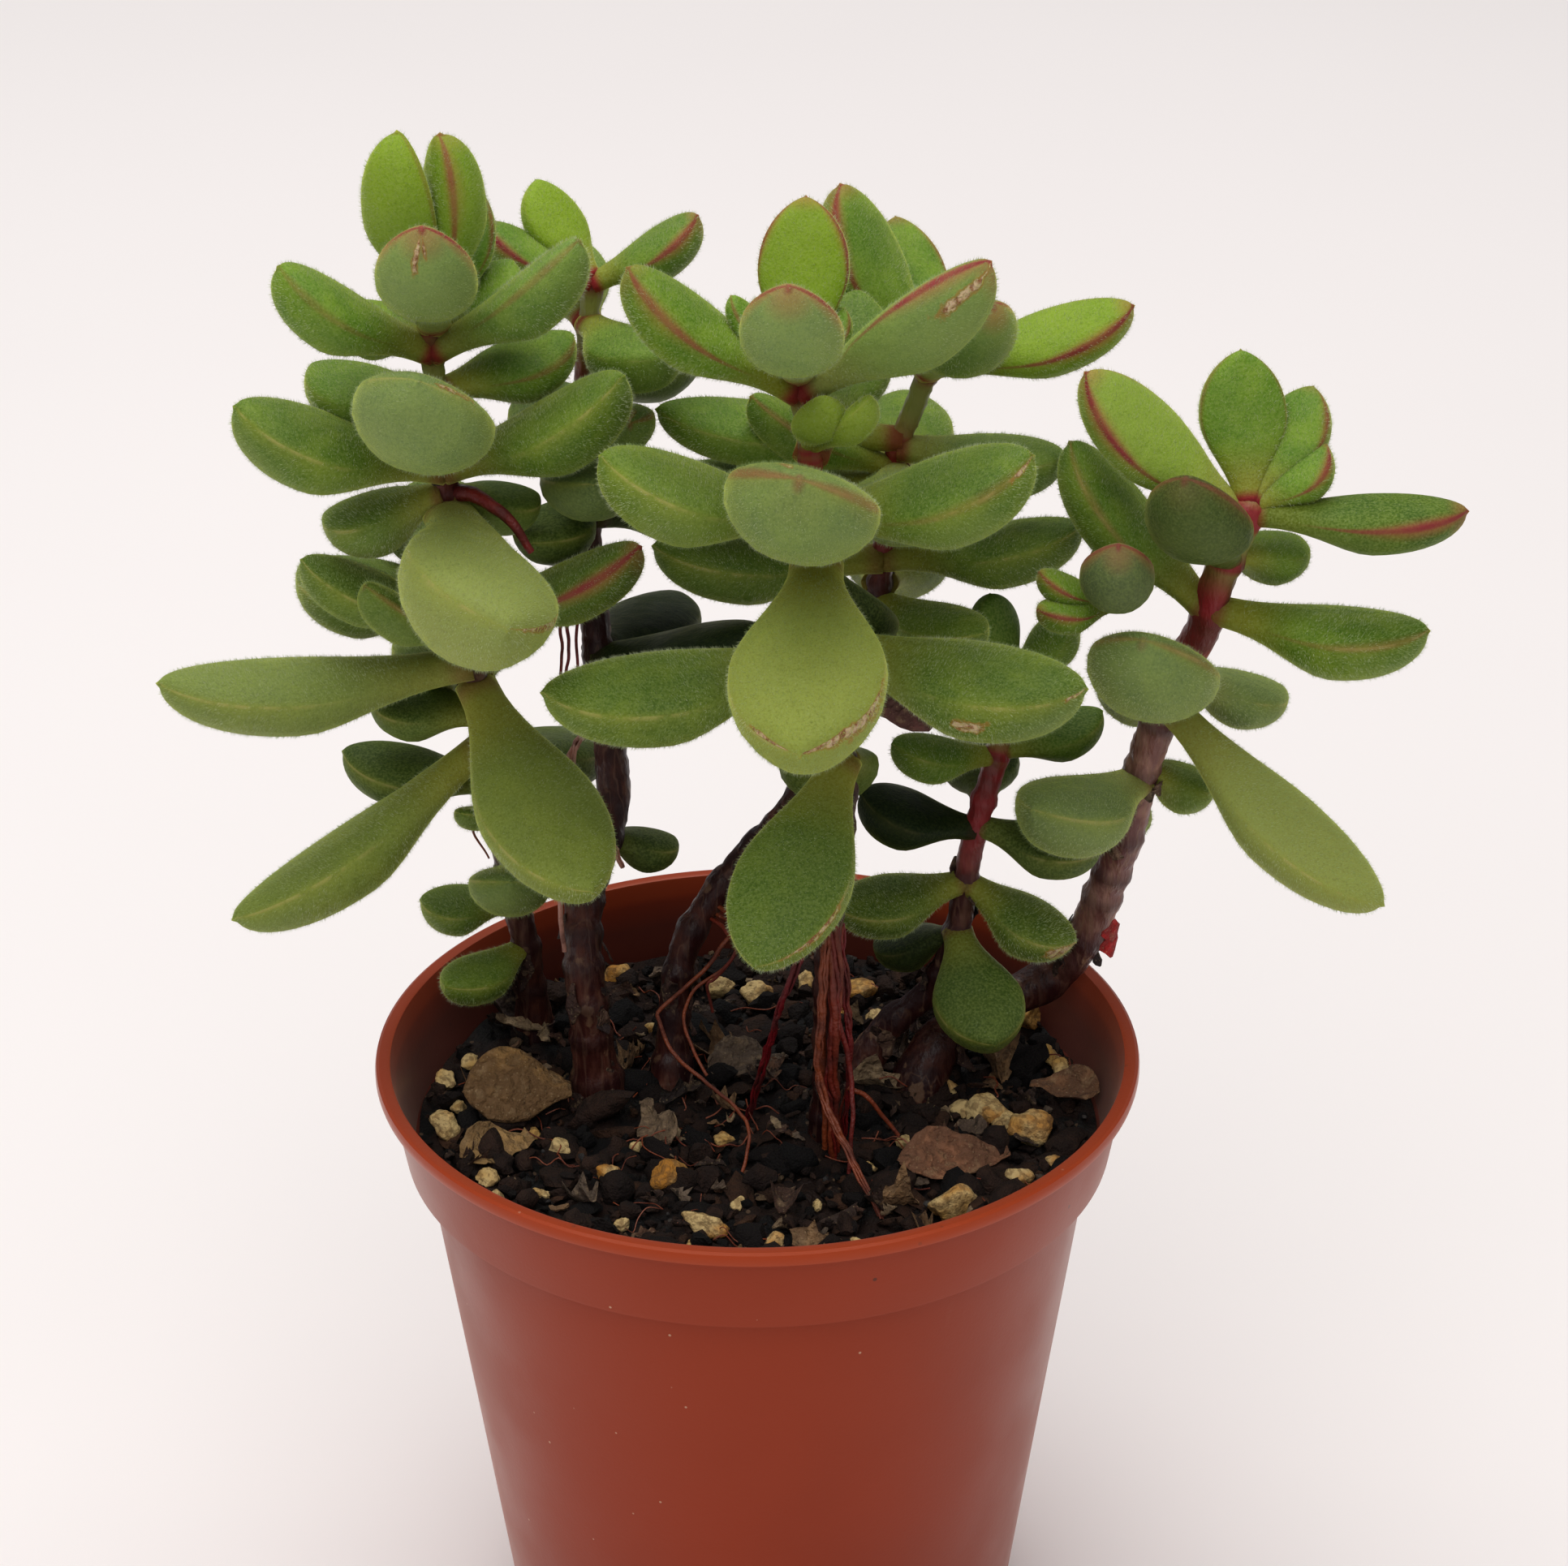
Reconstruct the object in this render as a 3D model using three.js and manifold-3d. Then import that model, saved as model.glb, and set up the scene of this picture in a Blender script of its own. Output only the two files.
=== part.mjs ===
// A potted Crassula rogersii: six leafy stems in a round plastic nursery pot.
// Sizes are in millimetres and +Z is up. The origin is the centre of the pot's base.
// The side that is seen from the front is -Y, and +X is to the right.

import * as THREE from 'three';
import { mergeVertices } from 'three/addons/utils/BufferGeometryUtils.js';
import Module from 'manifold-3d';

const wasm = await Module();
wasm.setup();

// Pot
const POT_HEIGHT = 75;
const LIP_RADIUS = 42.5;
const LIP_HEIGHT = 1.6;
const LIP_WIDTH = 1.8;
const BAND_HEIGHT = 11;
const BAND_TOP_RADIUS = 41.1;
const BAND_FOOT_RADIUS = 39.6;
const BODY_TOP_RADIUS = 37.4;
const BASE_RADIUS = 28.7;
const WALL = 1.2;
const FLOOR_TOP = 2.8;
const FOOT_INNER_RADIUS = 24.5;
const CENTRE_DISC_RADIUS = 13;
const RECESS_DEPTH = 1.2;
const DRAIN_HOLES = 8;
const DRAIN_RADIUS = 2.4;
const DRAIN_CIRCLE = 18.8;
const POT_SIDES = 36;

// Soil
const GAP = 0.3;
const CLEARANCE = 0.42;
const SOIL_LEVEL = 66.3;
const SOIL_RADIUS = 38;
const SOIL_SIDES = 30;
const SOIL_RINGS = [32, 24, 16, 8];
const STEM_FOOT = 60;
const STEM_SIDES = 8;
const ROOT_SIDES = 5;

// Shape of every leaf, as shares of its length or its width
const LEAF_STATIONS = [0, 0.2, 0.43, 0.68, 0.9];
const SHORT_LEAF_STATIONS = [0, 0.3, 0.62, 0.88];
const SHORT_LEAF = 15.1;
const LEAF_SIDES = 6;
const WIDEST_AT = 0.58;
const STALK_WIDTH = 0.36;
const UPPER_SWELL = 0.09;
const LOWER_SWELL = 0.42;
const STALK_SWELL = 0.13;
const STALK_END = 0.05;
const TIP_ROUNDNESS = 2.1;
const TIP_BLUNTNESS = 0.62;
const FALLEN_FLATNESS = 0.28;

// Pumice grains, as shares of their size
const GRAIN_LIFT = 0.22;
const GRAIN_HEIGHT = 0.78;
const GRAIN_ROUGHNESS = 0.28;

const DEG = Math.PI / 180;
const LEAF_SIDE_SINE = Math.sin(60 * DEG);

// One seeded draw between 0 and 1 for each call.
let seed = 20;
function draw() {
  seed = (seed * 16807) % 2147483647;
  return seed / 2147483647;
}

// Closed skin over rings of points. A ring of one point is a tip.
function loft(rings) {
  const points = [];
  const faces = [];
  const starts = rings.map((ring) => {
    points.push(...ring);
    return points.length - ring.length;
  });
  for (let r = 0; r + 1 < rings.length; r += 1) {
    const low = rings[r];
    const high = rings[r + 1];
    for (let i = 0; i < low.length; i += 1) {
      const a = starts[r] + i;
      const b = starts[r] + ((i + 1) % low.length);
      if (high.length === 1) {
        faces.push(a, b, starts[r + 1]);
      } else {
        const c = starts[r + 1] + ((i + 1) % low.length);
        const d = starts[r + 1] + i;
        faces.push(a, b, c, a, c, d);
      }
    }
  }
  const last = rings.length - 1;
  for (let i = 1; i + 1 < rings[0].length; i += 1) {
    faces.push(0, i + 1, i);
  }
  for (let i = 1; i + 1 < rings[last].length; i += 1) {
    faces.push(starts[last], starts[last] + i, starts[last] + i + 1);
  }
  const geometry = new THREE.BufferGeometry().setFromPoints(points);
  geometry.setIndex(faces);
  return geometry;
}

// Geometry to exact solid, and back.
function solidOf(geometry) {
  const plain = geometry.clone();
  plain.deleteAttribute('normal');
  plain.deleteAttribute('uv');
  const merged = mergeVertices(plain, 1e-4);
  return new wasm.Manifold(new wasm.Mesh({
    numProp: 3,
    vertProperties: merged.attributes.position.array,
    triVerts: merged.index.array,
  }));
}

function geometryOf(solid) {
  const mesh = solid.getMesh();
  const geometry = new THREE.BufferGeometry();
  geometry.setAttribute('position', new THREE.BufferAttribute(mesh.vertProperties, 3));
  geometry.setIndex(new THREE.BufferAttribute(mesh.triVerts, 1));
  geometry.computeVertexNormals();
  return geometry;
}

// Only the largest body of a fused solid stays: sealed hollows and loose scraps go.
function mainBody(solid) {
  return solid.decompose().sort((a, b) => b.volume() - a.volume())[0];
}

// Round tube through points, with a radius at each end.
function tube(points, startRadius, endRadius, sides) {
  const curve = new THREE.CatmullRomCurve3(points.map((p) => new THREE.Vector3(...p)));
  const count = points.length - 1;
  const rings = [];
  for (let k = 0; k <= count; k += 1) {
    const centre = curve.getPoint(k / count);
    const along = curve.getTangent(k / count);
    const across = new THREE.Vector3(0, 1, 0).cross(along).normalize();
    const other = new THREE.Vector3().crossVectors(along, across);
    const radius = startRadius + ((endRadius - startRadius) * k) / count;
    const ring = [];
    for (let i = 0; i < sides; i += 1) {
      const turn = (2 * Math.PI * i) / sides;
      ring.push(centre.clone()
        .addScaledVector(across, radius * Math.cos(turn))
        .addScaledVector(other, radius * Math.sin(turn)));
    }
    rings.push(ring);
  }
  return loft(rings);
}

// Half width of a leaf at t of its length, as a share of its greatest half width.
function leafHalfWidth(t) {
  if (t <= WIDEST_AT) {
    const rise = THREE.MathUtils.smoothstep(t, STALK_END, WIDEST_AT);
    return STALK_WIDTH + (1 - STALK_WIDTH) * rise;
  }
  const past = (t - WIDEST_AT) / (1 - WIDEST_AT);
  return (1 - past ** TIP_ROUNDNESS) ** TIP_BLUNTNESS;
}

// A spoon-shaped leaf. Its base is a point, its chord points by swing and rise in degrees,
// curl is how far its tip is bent up from its stalk, and plump multiplies the swell below.
// grow swells it all round for a clearance, and flat thins a dry leaf.
function leaf(base, [swing, rise, length, width, curl = 10, plump = 1], grow = 0, flat = 1) {
  const chord = new THREE.Vector3(
    Math.cos(swing * DEG) * Math.cos(rise * DEG),
    Math.sin(swing * DEG) * Math.cos(rise * DEG),
    Math.sin(rise * DEG),
  );
  const side = new THREE.Vector3(-Math.sin(swing * DEG), Math.cos(swing * DEG), 0);
  const up = new THREE.Vector3().crossVectors(chord, side);
  const bend = (curl * DEG * length) / 2;
  const middle = (t) => base.clone()
    .addScaledVector(chord, length * t)
    .addScaledVector(up, -bend * t * (1 - t));
  const stations = length < SHORT_LEAF ? SHORT_LEAF_STATIONS : LEAF_STATIONS;
  const rings = stations.map((t) => {
    const half = (leafHalfWidth(t) * width) / 2 + grow;
    const head = THREE.MathUtils.smoothstep(t, STALK_END, WIDEST_AT) * leafHalfWidth(t);
    const under = LOWER_SWELL * plump;
    const upper = width * (STALK_SWELL + (UPPER_SWELL - STALK_SWELL) * head) * flat + grow;
    const lower = width * (STALK_SWELL + (under - STALK_SWELL) * head) * flat + grow;
    const along = chord.clone().addScaledVector(up, (-bend / length) * (1 - 2 * t)).normalize();
    const normal = new THREE.Vector3().crossVectors(along, side);
    const centre = middle(t).addScaledVector(along, t > 0 ? 0 : -grow);
    const ring = [];
    for (let i = 0; i < LEAF_SIDES; i += 1) {
      const turn = (2 * Math.PI * i) / LEAF_SIDES;
      const height = (Math.sin(turn) / LEAF_SIDE_SINE) * (Math.sin(turn) > 0 ? upper : lower);
      ring.push(centre.clone()
        .addScaledVector(side, half * Math.cos(turn))
        .addScaledVector(normal, height));
    }
    return ring;
  });
  rings.push([middle(1).addScaledVector(chord, grow)]);
  return loft(rings);
}

// The leafy stems. route is the middle of the wood from foot to top. Each leaf is
// [height on the stem, swing, rise, length, width, curl, plump]: swing 0 points right, 90 back,
// 180 left and 270 to the front, and rise is its angle above level.
const STEMS = {
  stem_left: {
    colour: 0x5c7f3a,
    radii: [2.5, 1.6],
    route: [
      [-26, 20, STEM_FOOT], [-26.5, 17, 77], [-28, 15.5, 88], [-29.5, 11, 107.5], [-30.7, 8, 118],
      [-32, 6, 130], [-32.2, 5, 140], [-32.6, 4, 148], [-33, 3, 157], [-32.5, 3, 160],
    ],
    leaves: [
      [158.5, 190, 83, 21.5, 9, 8, 1.2],
      [158.5, 350, 86, 21, 9, 8, 1.2],
      [159, 272, 49, 20, 10.5, 15],
      [158.5, 75, 50, 17, 9],
      [157, 148, 12, 11, 9],
      [157, 45, 28, 13, 9.5],
      [156, 192, 35, 18.5, 11, 15],
      [156, 355, 39, 20, 11, 15],
      [146.5, 268, 36, 22, 15, 15],
      [151.5, 35, 9, 17, 10],
      [149, 143, 4, 18, 10.5],
      [142.5, 190, 22, 23, 13, 15],
      [142.5, 350, 31, 22.5, 13, 15],
      [137, 286, -5, 28, 17, -5],
      [139.5, 160, -18, 15.5, 11],
      [139.5, 30, -14, 11, 9],
      [131, 100, 0, 24, 13],
      [126, 150, 0, 21, 13],
      [124, 350, 27, 22, 10.5],
      [124, 185, 25, 18.5, 9.5],
      [121.5, 213, 38, 15, 8.5],
      [118.5, 188, 0, 33.5, 14, 18],
      [115.5, 298, -23, 31, 14, 12],
      [117, 105, -10, 26, 13],
      [111, 155, 2, 14, 9.5],
      [107.5, 200, -29, 34, 12.5, 12],
      [106, 65, -20, 26, 12],
      [101.5, 170, 9, 17.5, 10],
      [98, 240, 20, 8, 4.5],
      [89, 275, 22, 12, 9.5],
      [84.5, 175, 0, 11, 8.5],
      [78.5, 227, -1, 12.5, 8],
    ],
    extras: [
      [[[-31, 4.5, 139.8], [-29, 2, 140.4], [-26, -0.5, 139.2], [-23.3, -1, 135.2]], 0.5],
    ],
  },
  stem_rear_left: {
    colour: 0x3f5f2c,
    radii: [3.4, 1.5],
    route: [
      [-17.5, 4.5, STEM_FOOT], [-19, 4, 78], [-19.3, 7, 88.5], [-16.2, 12, 98], [-16.2, 14, 105],
      [-17.6, 17, 118.5], [-18.3, 19, 130.5], [-18.2, 20, 143], [-17.7, 21, 152], [-17, 21, 158],
    ],
    leaves: [
      [157.5, 130, 42, 13, 7.5],
      [157, 5, 33, 13.5, 8.5],
      [157, 172, 29, 13, 8],
      [152.5, 300, 5, 17, 10.5],
      [152.5, 105, 12, 20, 10],
      [143.5, 296, 10, 12, 9.5],
      [144, 60, 5, 22, 11],
      [138, 275, 12, 18, 11],
      [138, 105, 0, 22, 12],
      [133.5, 242, -6, 12, 9.5],
      [131, 45, -5, 23, 12],
      [115, 336, 18, 21, 13, 5],
      [116, 70, -8, 24, 12],
      [95.5, 35, -18, 10, 8],
    ],
    extras: [
      [[[-19.2, 13.5, 107], [-20.2, 7.5, 106.5], [-17.2, 4.5, 101], [-14.6, 5.6, 94.5]], 0.45],
    ],
  },
  stem_centre: {
    colour: 0x6a8a3f,
    radii: [2.2, 1.6],
    route: [
      [8, -4, STEM_FOOT], [7.5, -6, 80], [8, -7, 94], [9.2, -7, 104], [9.5, -7, 113],
      [7.8, -8, 122], [6.6, -9, 137], [6.2, -9, 143], [5.9, -9, 150], [4.9, -9, 156],
      [4.7, -9, 159],
    ],
    leaves: [
      [158.5, 84, 62, 17.5, 9.5],
      [158, 266, 46, 20, 10.5, 15],
      [158.5, 40, 40, 8, 5],
      [158.5, 160, 45, 10, 5],
      [156, 178, 38, 21.5, 11],
      [156, 358, 37, 23.5, 11.5],
      [150, 290, 62, 8, 6],
      [150, 335, 45, 9.5, 6],
      [144.8, 266, 30, 22, 16, 15],
      [149, 75, 28, 23, 11],
      [142, 185, 21, 23, 13.5],
      [142, 355, 20, 23.5, 14],
      [137.3, 266, -19, 29, 16.3, -8],
      [137, 60, -42, 18, 10],
      [127, 185, -6, 29.5, 14, 18],
      [128, 350, -6, 27.5, 15, 12],
      [114, 245, -32, 26, 13, -5],
      [114, 98, -24, 18, 11],
    ],
    extras: [
      [[[8, -7.5, 96], [7.1, -11, 87], [6.8, -12.5, 78], [9.3, -16, 71.9], [13.5, -21.5, 65]], 0.5],
      [[[8.6, -7.5, 95], [8.9, -10.5, 86], [7.4, -10, 76], [7, -8.5, 65]], 0.8],
      [[[9, -7, 94], [11, -8.5, 81], [11.2, -8.6, 73], [10.5, -7.5, 65]], 0.5],
      [[[7.6, -7.5, 98], [4.8, -10, 91.5], [2.2, -8.5, 83], [-1.3, -1.5, 65]], 0.55],
    ],
  },
  stem_rear_centre: {
    colour: 0x4d6f33,
    radii: [2.8, 1.7],
    route: [
      [-10, 5, STEM_FOOT], [-9, 9, 79], [-4.5, 12, 88], [4, 14.5, 97.5], [10.5, 16, 107.5],
      [13, 16.5, 117], [14, 16, 127], [15.3, 16, 139], [17.2, 16, 144.5], [19, 15, 150],
    ],
    leaves: [
      [149.5, 150, 60, 21.5, 11],
      [149.5, 0, 18, 22.5, 9.5],
      [149.5, 103, 39, 19, 9],
      [149, 297, 42, 18, 10],
      [141, 180, 8, 26.5, 10.5, 5],
      [140, 352, 0, 18, 11, 5],
      [137, 273, 13, 20, 12],
      [136, 180, 2, 25, 11],
      [137.5, 197, 33, 19, 9],
      [137, 85, 0, 24, 12],
      [127, 355, 12, 22, 11],
      [127, 180, 4, 25, 12],
      [124, 80, -8, 25, 12],
      [122, 314, 4, 16, 9],
      [119.5, 10, -26, 24.5, 8.5],
    ],
    extras: [
      [[[11.2, 16, 109], [14, 13.8, 109.6], [17.2, 12.6, 108.8]], 1.3],
    ],
  },
  stem_right: {
    colour: 0x5d8438,
    radii: [2.4, 1.7],
    route: [
      [18, 4, STEM_FOOT], [18.5, 6, 67], [22.5, 9, 72], [28.5, 12.5, 73.5], [34, 14, 76],
      [37.2, 13, 81.5], [39.2, 12, 88], [41, 10, 96], [42.8, 9, 105.5], [45.3, 7, 115.5],
      [48.3, 5, 124], [49.2, 4, 129], [51.7, 3, 137], [52.5, 3, 139.5],
    ],
    leaves: [
      [138.5, 95, 60, 16.5, 9.5],
      [138.5, 50, 42, 15, 8.5],
      [138, 25, 34, 11, 8.5],
      [137, 170, 42, 23, 9.5, 5],
      [137.5, 355, 3, 23, 9.5, 5],
      [132, 243, 47, 19.5, 11.5],
      [132.5, 45, -8, 12, 9],
      [125.5, 160, 48, 23.5, 11.5, 5],
      [126, 350, -2, 23.2, 12, 20],
      [116.3, 251, 37, 19.5, 14.5, 15],
      [117, 30, -20, 15.5, 10],
      [113.5, 325, -31, 32, 12],
      [111, 92, -5, 22, 11],
      [103, 222, 8, 17, 13.5, 15],
      [104.5, 25, -20, 9.5, 9],
      [96, 95, -10, 18, 10],
    ],
    extras: [
      [[[44.7, 7, 117], [40.8, 3, 122.2], [39.1, 1, 125.5], [38, 0, 129.2]], 1],
    ],
    budFoot: [38.2, 0.2, 128.5],
    budLeaves: [
      [270, 50, 10, 8],
      [180, 25, 9, 5.5],
      [200, 5, 9, 6],
      [80, 35, 9, 7],
    ],
  },
  stem_small: {
    colour: 0x35552b,
    radii: [2, 1.4],
    route: [
      [11, 8, STEM_FOOT], [12, 8.5, 67], [15, 9.5, 72], [20, 9.5, 77], [22.5, 9, 84.5],
      [23.3, 8.5, 91], [24.3, 8.5, 97.5], [26.5, 9.5, 106], [28, 11, 113], [28.7, 12, 116],
    ],
    leaves: [
      [114.8, 138, 68, 9.5, 7],
      [114.8, 15, 48, 9, 7.5],
      [106, 190, 13, 12, 8.2],
      [106.5, 22, 12, 13, 8],
      [97.5, 180, 20, 13.5, 10],
      [98, 350, -8, 14, 9],
      [91, 190, -6, 15, 10],
      [91, 345, -25, 14, 10],
      [84.5, 285, -25, 16, 10.5],
      [84, 150, -20, 11, 8],
      [101, 90, 5, 15, 9],
    ],
    extras: [],
  },
};

// Loose pumice grains on the soil: [x, y, size].
const PUMICE = [
  [-17, 28.6, 3.5], [-4.7, 28, 3.3], [-0.3, 25.6, 3.6], [12.1, 26.7, 3.2], [14.5, 17.2, 3.8],
  [31.2, 19, 3.3], [-34.8, -4.6, 3.6], [-9.2, -14.5, 4], [-5.5, -24.2, 4], [25.5, -0.6, 4.2],
  [30.2, -5.6, 5], [20.9, -20.5, 4.8],
];

// Fallen leaves that lie on the soil: [x, y, lift, swing, rise, length, width, curl].
const FALLEN = [
  [-21, 0, 1.3, 188, 3, 12, 9.5, -10], [-25, -8, 1, 215, 0, 9, 5.5, 15],
  [27.5, -12.5, 1, 192, 1, 12.5, 6.5, 10], [31, 3.5, 1, 340, 2, 8, 5, -15],
  [-12.5, -1.5, 2, 285, -14, 9, 5, 20], [3, 9, 0.8, 203, 2, 9.5, 5, -10],
];

// Heights of the soil: a gentle swell with finer lumps, from a formula.
function soilHeight(x, y) {
  const swell = 0.7 * Math.sin(0.11 * x + 1.1) * Math.cos(0.13 * y - 0.4);
  const lumps = 0.45 * Math.sin(0.47 * x + 0.9) * Math.sin(0.53 * y + 0.3);
  return SOIL_LEVEL + swell + lumps;
}

// Middle of a stem at a height, on the straight line between two route points.
function stemPoint(route, height) {
  const above = route.findIndex((point) => point[2] >= height);
  const high = route[Math.max(above, 1)];
  const low = route[Math.max(above, 1) - 1];
  const share = (height - low[2]) / (high[2] - low[2]);
  return new THREE.Vector3(...low).lerp(new THREE.Vector3(...high), share);
}

// Pot: a turned wall with a lip, a band and a recessed floor, then the drain holes.
function potSolid() {
  const bandFoot = POT_HEIGHT - BAND_HEIGHT;
  const lipFoot = POT_HEIGHT - LIP_HEIGHT;
  const profile = [
    [0, 0], [CENTRE_DISC_RADIUS, 0], [CENTRE_DISC_RADIUS + 0.8, RECESS_DEPTH],
    [FOOT_INNER_RADIUS - 0.8, RECESS_DEPTH], [FOOT_INNER_RADIUS, 0],
    [BASE_RADIUS - 0.6, 0], [BASE_RADIUS, 0.6],
    [BODY_TOP_RADIUS, bandFoot - 0.4], [BAND_FOOT_RADIUS - 0.4, bandFoot],
    [BAND_FOOT_RADIUS, bandFoot + 0.4], [BAND_TOP_RADIUS, lipFoot - 0.2],
    [LIP_RADIUS - 0.3, lipFoot], [LIP_RADIUS, lipFoot + 0.4],
    [LIP_RADIUS, POT_HEIGHT - 0.5], [LIP_RADIUS - 0.4, POT_HEIGHT],
    [LIP_RADIUS - LIP_WIDTH + 0.3, POT_HEIGHT], [LIP_RADIUS - LIP_WIDTH, POT_HEIGHT - 0.4],
    [BAND_FOOT_RADIUS - WALL, bandFoot + 1.2], [BODY_TOP_RADIUS - WALL, bandFoot - 0.8],
    [BASE_RADIUS - WALL, FLOOR_TOP], [0, FLOOR_TOP],
  ].map(([radius, height]) => new THREE.Vector2(radius, height));
  let pot = solidOf(new THREE.LatheGeometry(profile, POT_SIDES).rotateX(Math.PI / 2));
  for (let k = 0; k < DRAIN_HOLES; k += 1) {
    const turn = (2 * Math.PI * (k + 0.5)) / DRAIN_HOLES;
    const drill = new THREE.CylinderGeometry(DRAIN_RADIUS, DRAIN_RADIUS, 3 * FLOOR_TOP, 10);
    drill.rotateX(Math.PI / 2);
    drill.translate(DRAIN_CIRCLE * Math.cos(turn), DRAIN_CIRCLE * Math.sin(turn), 0);
    pot = pot.subtract(solidOf(drill));
  }
  return pot;
}

// Soil: fills the pot to just above its inner ledge and has an uneven top.
function soilSolid(cutters) {
  const bandFoot = POT_HEIGHT - BAND_HEIGHT;
  const profile = [
    [0, FLOOR_TOP + GAP], [BASE_RADIUS - WALL - GAP, FLOOR_TOP + GAP],
    [BODY_TOP_RADIUS - WALL - GAP, bandFoot - 0.8], [SOIL_RADIUS, bandFoot + 1.4],
    [SOIL_RADIUS, SOIL_LEVEL - 0.4],
    ...SOIL_RINGS.map((radius) => [radius, SOIL_LEVEL]), [0, SOIL_LEVEL],
  ].map(([radius, height]) => new THREE.Vector2(radius, height));
  const geometry = new THREE.LatheGeometry(profile, SOIL_SIDES).rotateX(Math.PI / 2);
  const place = geometry.attributes.position;
  for (let i = 0; i < place.count; i += 1) {
    if (place.getZ(i) > SOIL_LEVEL - 0.1) {
      place.setZ(i, soilHeight(place.getX(i), place.getY(i)));
    }
  }
  return mainBody(cutters.reduce((soil, cutter) => soil.subtract(cutter), solidOf(geometry)));
}

// The tube again, swelled by a clearance, with a plug round its foot: a plain hole in the soil.
function holeFor(points, startRadius, endRadius, sides) {
  const start = startRadius + CLEARANCE;
  const end = endRadius + CLEARANCE;
  const ends = [[points[0], start], [points[points.length - 1], end]];
  const [foot, radius] = ends.sort((a, b) => a[0][2] - b[0][2])[0];
  const plug = new THREE.CylinderGeometry(radius, radius, 2 * CLEARANCE, sides);
  plug.rotateX(Math.PI / 2);
  plug.translate(...foot);
  return solidOf(tube(points, start, end, sides)).add(solidOf(plug));
}

// A leafy stem: wood, leaves, roots and bud fused into one body.
function stemSolid(stem) {
  const [footRadius, topRadius] = stem.radii;
  let body = solidOf(tube(stem.route, footRadius, topRadius, STEM_SIDES));
  for (const [height, ...shape] of stem.leaves) {
    body = body.add(solidOf(leaf(stemPoint(stem.route, height), shape)));
  }
  for (const [points, radius] of stem.extras) {
    body = body.add(solidOf(tube(points, radius, radius, ROOT_SIDES)));
  }
  for (const shape of stem.budLeaves ?? []) {
    body = body.add(solidOf(leaf(new THREE.Vector3(...stem.budFoot), shape)));
  }
  return mainBody(body);
}

// A pumice grain: a lump with twelve faces, with its corners moved by a seeded draw.
function grainGeometry([x, y, size], grow) {
  const lump = new THREE.DodecahedronGeometry(0.5, 0);
  lump.deleteAttribute('normal');
  lump.deleteAttribute('uv');
  const geometry = mergeVertices(lump, 1e-4);
  const place = geometry.attributes.position;
  for (let i = 0; i < place.count; i += 1) {
    const reach = (1 + GRAIN_ROUGHNESS * (draw() - 0.5)) * size + 2 * grow;
    const rise = reach * GRAIN_HEIGHT;
    place.setXYZ(i, place.getX(i) * reach, place.getY(i) * reach, place.getZ(i) * rise);
  }
  geometry.rotateZ(draw() * Math.PI);
  geometry.translate(x, y, soilHeight(x, y) + GRAIN_LIFT * size);
  return geometry;
}

function fallenGeometry([x, y, lift, ...shape], grow) {
  return leaf(new THREE.Vector3(x, y, soilHeight(x, y) + lift), shape, grow, FALLEN_FLATNESS);
}

// Assembly
const plant = new THREE.Group();

function addPiece(name, geometry, colour, roughness) {
  const material = new THREE.MeshStandardMaterial({ color: colour, roughness, metalness: 0 });
  const piece = new THREE.Mesh(geometry, material);
  piece.name = name;
  plant.add(piece);
}

const cutters = [];
addPiece('pot', geometryOf(potSolid()), 0x9a3e22, 0.45);

for (const [name, stem] of Object.entries(STEMS)) {
  addPiece(name, geometryOf(stemSolid(stem)), stem.colour, 0.7);
  cutters.push(holeFor(stem.route, ...stem.radii, STEM_SIDES));
  for (const [points, radius] of stem.extras) {
    if (points[points.length - 1][2] < SOIL_LEVEL) {
      cutters.push(holeFor(points, radius, radius, ROOT_SIDES));
    }
  }
}

PUMICE.forEach((grain, index) => {
  const start = seed;
  addPiece(`pumice_${index + 1}`, grainGeometry(grain, 0), 0xc9ab78, 0.9);
  seed = start;
  cutters.push(solidOf(grainGeometry(grain, CLEARANCE)));
});

FALLEN.forEach((shape, index) => {
  addPiece(`fallen_leaf_${index + 1}`, fallenGeometry(shape, 0), 0x6d4a2c, 0.85);
  cutters.push(solidOf(fallenGeometry(shape, CLEARANCE)));
});

addPiece('soil', geometryOf(soilSolid(cutters)), 0x2a211d, 0.95);

export default plant;
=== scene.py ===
# %% [markdown]
# # A potted Crassula rogersii
# The plant has fleshy, velvety leaves in crossed pairs on woody stems, and stands in dark
# potting mix in a round nursery pot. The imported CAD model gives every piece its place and
# size. Here each piece gets a finer form and a finish that is made from nodes alone.

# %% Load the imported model
import math

import bpy
import numpy as np
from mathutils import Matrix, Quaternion, Vector
from mathutils.kdtree import KDTree


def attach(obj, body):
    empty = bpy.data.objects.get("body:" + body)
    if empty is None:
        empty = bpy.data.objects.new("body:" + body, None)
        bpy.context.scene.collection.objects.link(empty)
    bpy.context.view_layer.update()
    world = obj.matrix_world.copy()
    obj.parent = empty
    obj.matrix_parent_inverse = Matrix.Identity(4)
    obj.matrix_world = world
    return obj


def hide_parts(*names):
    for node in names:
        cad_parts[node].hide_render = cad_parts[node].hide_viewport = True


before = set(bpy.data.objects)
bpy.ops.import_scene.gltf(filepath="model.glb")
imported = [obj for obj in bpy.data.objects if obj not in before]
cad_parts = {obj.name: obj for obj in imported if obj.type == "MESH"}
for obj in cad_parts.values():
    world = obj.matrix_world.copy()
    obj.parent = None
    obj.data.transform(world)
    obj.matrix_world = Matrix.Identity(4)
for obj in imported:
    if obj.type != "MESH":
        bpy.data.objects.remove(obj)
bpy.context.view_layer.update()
MM = 0.001
rng = np.random.default_rng(11)
bpy.ops.object.select_all(action="DESELECT")

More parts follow.
